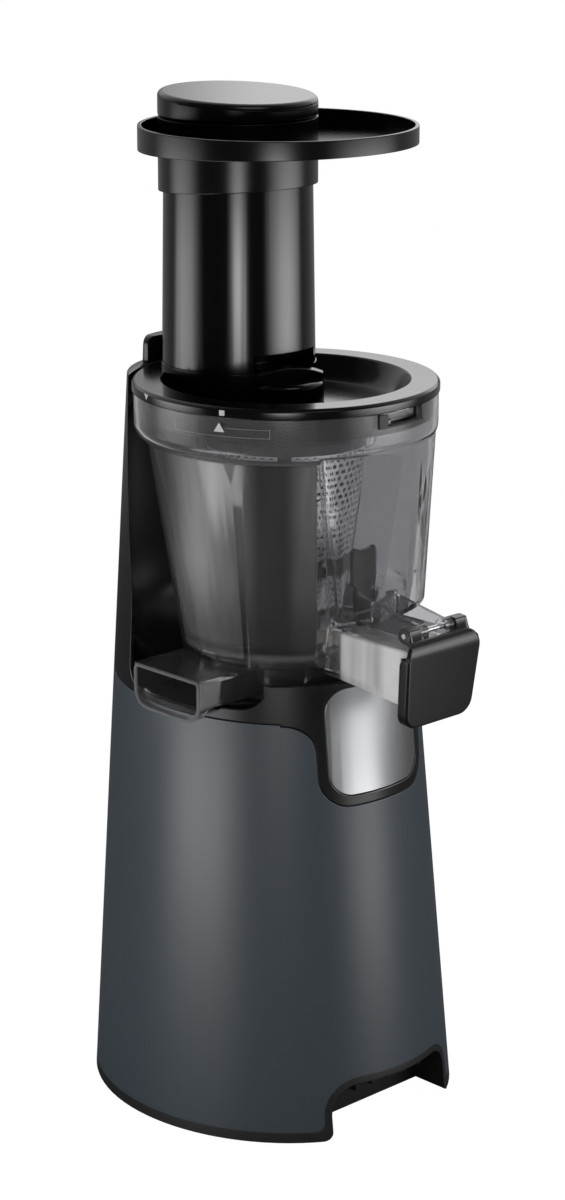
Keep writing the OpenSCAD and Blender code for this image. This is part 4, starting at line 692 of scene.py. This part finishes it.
def bent_plate(name, outline, inner, outer, body, material, ease=0.6):
    """Outline points are (degrees round the axis, height in mm), counter-clockwise from outside."""
    shape = bmesh.new()
    shape.faces.new([shape.verts.new((turn, height, outer)) for turn, height in outline])
    for turn in STRIP_CUTS:
        everything = shape.verts[:] + shape.edges[:] + shape.faces[:]
        bmesh.ops.bisect_plane(shape, geom=everything, dist=1e-4, plane_co=(turn, 0, 0), plane_no=(1, 0, 0))
    bmesh.ops.connect_verts_concave(shape, faces=shape.faces)
    back = bmesh.ops.extrude_face_region(shape, geom=shape.faces[:])["geom"]
    for vert in back:
        if isinstance(vert, bmesh.types.BMVert):
            vert.co.z = inner
    for vert in shape.verts:
        turn, height, radius = vert.co
        a = math.radians(turn)
        vert.co = Vector((radius * math.cos(a), radius * math.sin(a), height)) * MM
    bmesh.ops.recalc_face_normals(shape, faces=shape.faces)
    mesh = bpy.data.meshes.new(name)
    shape.to_mesh(mesh)
    shape.free()
    mesh.materials.append(material)
    piece = carried(name, mesh, body)
    edge = piece.modifiers.new("edge", "BEVEL")
    edge.width, edge.segments, edge.limit_method = ease * MM, 2, "ANGLE"
    return piece


def arc_points(turn_a, turn_b, height, step=3):
    """Points along a level edge, close enough together to bend."""
    count = max(1, round(abs(turn_b - turn_a) / step))
    return [(turn_a + (turn_b - turn_a) * i / count, height) for i in range(count + 1)]


print("strips at most:", len(STRIP_CUTS) + 1)

# %% Brush clip and lid hook
clip = [(-93, 302), (-90, 300), (-90, 286), (-88, 282)] + arc_points(-88, -74, 282)
clip += [(-72, 286), (-72, 300), (-70, 304), (-70, 318), (-73, 321)]
clip += arc_points(-74, -86, 320) + [(-90, 322), (-93, 320)]
bent_plate("brush_clip", clip, 51.5, 54.5, "brush", soft_gloss_abs)
hook = [(-98.5, 393.2)] + arc_points(-98.5, -74, 393.2)[1:]
hook += arc_points(-74, -94.5, 394.4) + [(-94.5, 400.6), (-98.5, 400.6)]
bent_plate("lid_hook", hook, 82.2, 83.4, "lid", eroded_abs, 0.2)
print("bent plates:", len(clip), "and", len(hook), "outline points")

# %% [markdown]
# The mouth of the pulp spout ends in a bead, which stiffens the thin clear wall. Its lighter
# frosted grey is a painted highlight: the line of light along the rim. It is a round wire along
# the mouth's outline: a curve with a bevel, turned into a mesh.

# %% Bead of the pulp spout
def bead(name, points, radius, body, material):
    """A round wire along a closed outline, points in mm."""
    curve = bpy.data.curves.new(name, "CURVE")
    curve.dimensions = "3D"
    curve.bevel_depth, curve.bevel_resolution = radius * MM, 3
    line = curve.splines.new("POLY")
    line.points.add(len(points) - 1)
    for point, (x, y, z) in zip(line.points, points):
        point.co = (x * MM, y * MM, z * MM, 1)
    line.use_cyclic_u = True
    holder = bpy.data.objects.new(name + "_line", curve)
    bpy.context.scene.collection.objects.link(holder)
    graph = bpy.context.evaluated_depsgraph_get()
    mesh = bpy.data.meshes.new_from_object(holder.evaluated_get(graph))
    bpy.data.objects.remove(holder)
    mesh.materials.clear()
    mesh.materials.append(material)
    mesh.shade_smooth()
    return carried(name, mesh, body)


# a lighter grey than the bowl: a painted highlight for the light line along the mouth's rim
frosted_edge_painted_highlight = grained("frosted_smoky_edge_painted_highlight", "#7E7E80", 0.32, 1.0, 0.005,
                       Transmission_Weight=0.3, IOR=1.2)
MOUTH_X = -88.2
# half of the outline, from the middle of the rounded floor up to the flat roof: (depth, height)
mouth_floor = [(21.6 * t, 236.3 + 2.2 * t ** 6) for t in (0, 0.25, 0.5, 0.7, 0.85, 1)]
mouth_wall = [(23.6, 241.2), (24.9, 244.4), (24.9, 256.9), (24.3, 258.3), (22.9, 258.9)]
mouth_side = mouth_floor + mouth_wall
mouth = [(MOUTH_X, y, z) for y, z in mouth_side] + [(MOUTH_X, -y, z) for y, z in mouth_side[:0:-1]]
bead("pulp_mouth_bead", mouth, 1.0, "bowl", frosted_edge_painted_highlight)
print("bead points:", len(mouth))

# %% [markdown]
# ## The studio
# A white floor that runs out of sight and a surround that is white for the camera and through
# clear plastic. What the gloss mirrors is a studio: dim in front, paler behind. Seven soft boxes
# stand round the juicer. Three draw the upright bands on the tube and on the slate, two low ones
# light the slate near the foot, and a panel above and one behind shine on the flat tops.

# %% Surround seen by the gloss
def surround_tone(tree, spot):
    """Dim on the camera's side of the juicer, paler behind it."""
    level = add(tree, "ShaderNodeVectorMath", {0: spot, 1: (1, 1, 0)}, operation="MULTIPLY")
    unit = add(tree, "ShaderNodeVectorMath", {0: level}, operation="NORMALIZE")
    backwards = (-math.sin(view_turn), math.cos(view_turn), 0)
    facing = add(tree, "ShaderNodeVectorMath", {0: unit, 1: backwards}, operation="DOT_PRODUCT")
    dim_to_pale = {"Value": facing.outputs["Value"], "From Min": -0.3, "From Max": 0.9,
                   "To Min": 0.06, "To Max": 0.80}
    return add(tree, "ShaderNodeMapRange", dim_to_pale, interpolation_type="SMOOTHSTEP")


def seen_white(tree):
    """1 for rays from the camera and through clear plastic."""
    rays = add(tree, "ShaderNodeLightPath").outputs
    seen = {0: rays["Is Camera Ray"], 1: rays["Is Transmission Ray"]}
    return add(tree, "ShaderNodeMath", seen, operation="MAXIMUM")


print("pale side faces:", [round(c, 2) for c in (-math.sin(view_turn), math.cos(view_turn))])

# %% World
world = bpy.data.worlds.new("studio")
bpy.context.scene.world = world
world.use_nodes = True
sky = world.node_tree
surround = sky.nodes["Background"]
surround.inputs["Color"].default_value = (1, 1, 1, 1)
direction = add(sky, "ShaderNodeTexCoord").outputs["Generated"]
up = add(sky, "ShaderNodeSeparateXYZ", {"Vector": direction}).outputs["Z"]
horizon = {"Value": up, "From Min": 0.10, "From Max": 0.28, "To Min": 0.3}
above_horizon = add(sky, "ShaderNodeMapRange", horizon, interpolation_type="SMOOTHSTEP")
around = surround_tone(sky, direction)
mirrored = add(sky, "ShaderNodeMath", {0: around, 1: above_horizon}, operation="MULTIPLY")
# matt surfaces get three tenths of it, so that the surround doesn't fill their shadows
on_matt = add(sky, "ShaderNodeLightPath").outputs["Is Diffuse Ray"]
matt_share = add(sky, "ShaderNodeMath", {0: on_matt, 1: -0.7, 2: 1.0}, operation="MULTIPLY_ADD")
tone = add(sky, "ShaderNodeMath", {0: mirrored, 1: matt_share}, operation="MULTIPLY")
sky_level = add(sky, "ShaderNodeMath", {0: tone, 1: seen_white(sky)}, operation="MAXIMUM")
sky.links.new(sky_level.outputs[0], surround.inputs["Strength"])
print("surround:", world.name)

# %% Floor
REACH = 40
floor_mesh = bpy.data.meshes.new("floor")
corners = [(-REACH, -REACH, 0), (REACH, -REACH, 0), (REACH, REACH, 0), (-REACH, REACH, 0)]
floor_mesh.from_pydata(corners, [], [(0, 1, 2, 3)])
floor = bpy.data.objects.new("floor", floor_mesh)
bpy.context.scene.collection.objects.link(floor)
print("floor:", floor.name)

# %% [markdown]
# The paper of the floor glows a little for the camera, which keeps it white to its far edge, and
# keeps a share of plain paper that takes the juicer's shadow. The gloss sees a tone that is dark
# near the juicer and paler far away.

# %% White paper
paper, paper_tree, paper_shader = finish("white_paper", "#F2F2F2", 0.9)
white = seen_white(paper_tree)
gloss_seen = add(paper_tree, "ShaderNodeLightPath").outputs["Is Glossy Ray"]
floor_spot = add(paper_tree, "ShaderNodeTexCoord").outputs["Object"]
from_middle = add(paper_tree, "ShaderNodeVectorMath", {0: floor_spot}, operation="LENGTH")
near_to_far = {"Value": from_middle.outputs["Value"], "From Min": 1.3, "From Max": 1.9,
               "To Min": 0.05, "To Max": 0.33}
far_floor = add(paper_tree, "ShaderNodeMapRange", near_to_far, interpolation_type="SMOOTHSTEP")
known = {"white": white, "gloss": gloss_seen, "far": far_floor,
         "tone": surround_tone(paper_tree, floor_spot)}
paper_sums = (
    ("tone", "MULTIPLY", "tone", "far"),
    ("tone", "MULTIPLY", "gloss", "tone"),
    ("white_glow", "MULTIPLY", "white", 1.14),
    ("strength", "MAXIMUM", "white_glow", "tone"),
    ("white_share", "MULTIPLY", "white", 0.86),
    ("gloss_share", "MULTIPLY", "gloss", 0.9),
    ("share", "MAXIMUM", "white_share", "gloss_share"),
)
for result, operation, first, second in paper_sums:
    pair = {0: known.get(first, first), 1: known.get(second, second)}
    known[result] = add(paper_tree, "ShaderNodeMath", pair, operation=operation)
glow = add(paper_tree, "ShaderNodeEmission", {"Strength": known["strength"]})
lit_paper = add(paper_tree, "ShaderNodeMixShader", {0: known["share"], 1: paper_shader, 2: glow})
paper_tree.links.new(lit_paper.outputs[0], paper_tree.nodes["Material Output"].inputs["Surface"])
floor_mesh.materials.append(paper)
print("paper:", paper.name)

# %% [markdown]
# A soft box is an area lamp whose light fades towards its edges, as cloth in front of a lamp
# does, so the bands that it draws have soft edges too. It doesn't show in the picture itself.

# %% Soft boxes
def soft_box(name, turn, distance, low, high, width, radiance, shift=0.0, soft=0.3, tilt=0.0):
    """A soft box at an angle round the juicer, counted from the camera towards the right. It faces
    the juicer's axis, and its edges are at the heights low and high."""
    a = view_turn + math.radians(turn)
    out = Vector((math.sin(a), -math.cos(a), 0))
    side = Vector((math.cos(a), math.sin(a), 0))
    data = bpy.data.lights.new(name, "AREA")
    data.shape = "RECTANGLE"
    data.size, data.size_y = width, high - low
    data.energy = radiance * math.pi * width * (high - low)
    data.use_nodes = True
    cloth = data.node_tree
    place_on = add(cloth, "ShaderNodeNewGeometry").outputs["Parametric"]
    sides = add(cloth, "ShaderNodeSeparateXYZ", {"Vector": place_on}).outputs
    fades = []
    for axis in ("X", "Y"):
        # 0 at both edges and 0.5 in the middle
        to_edge = add(cloth, "ShaderNodeMath", {0: sides[axis], 1: 0.5}, operation="PINGPONG")
        fades.append(add(cloth, "ShaderNodeMapRange", {"Value": to_edge, "From Max": soft},
                         interpolation_type="SMOOTHSTEP"))
    fade = add(cloth, "ShaderNodeMath", dict(enumerate(fades)), operation="MULTIPLY")
    cloth.links.new(fade.outputs[0], cloth.nodes["Emission"].inputs["Strength"])
    lamp = bpy.data.objects.new(name, data)
    lamp.location = out * distance + side * shift + Vector((0, 0, (low + high) / 2))
    shines = -out - Vector((0, 0, math.tan(math.radians(tilt))))
    lamp.rotation_euler = shines.to_track_quat("-Z", "Y").to_euler()
    lamp.visible_camera = False
    bpy.context.scene.collection.objects.link(lamp)
    return lamp


print("camera's own angle in degrees:", round(math.degrees(view_turn)))

# %% The seven lamps
# name, angle in degrees, distance, lower edge, upper edge and width in m, radiance
soft_box("left_box", -86, 0.80, 0.12, 0.52, 0.92, 4.2, soft=0.45)
soft_box("right_box", 75, 0.80, 0.12, 0.52, 1.24, 6.8, soft=0.5)
soft_box("front_strip", -1, 1.00, 0.17, 0.45, 0.60, 11.0, soft=0.5)
soft_box("low_left", -52, 0.60, 0.00, 0.17, 0.62, 6.4)
soft_box("low_right", 62, 0.60, 0.00, 0.09, 0.46, 6.8)
soft_box("top_panel", 24, 0.90, 1.00, 1.60, 1.0, 1.2, tilt=52)
soft_box("back_panel", 180, 1.00, 0.50, 1.35, 1.10, 0.9, shift=-0.42, soft=0.12)

# %% Colour view
bpy.context.scene.view_settings.view_transform = "Standard"
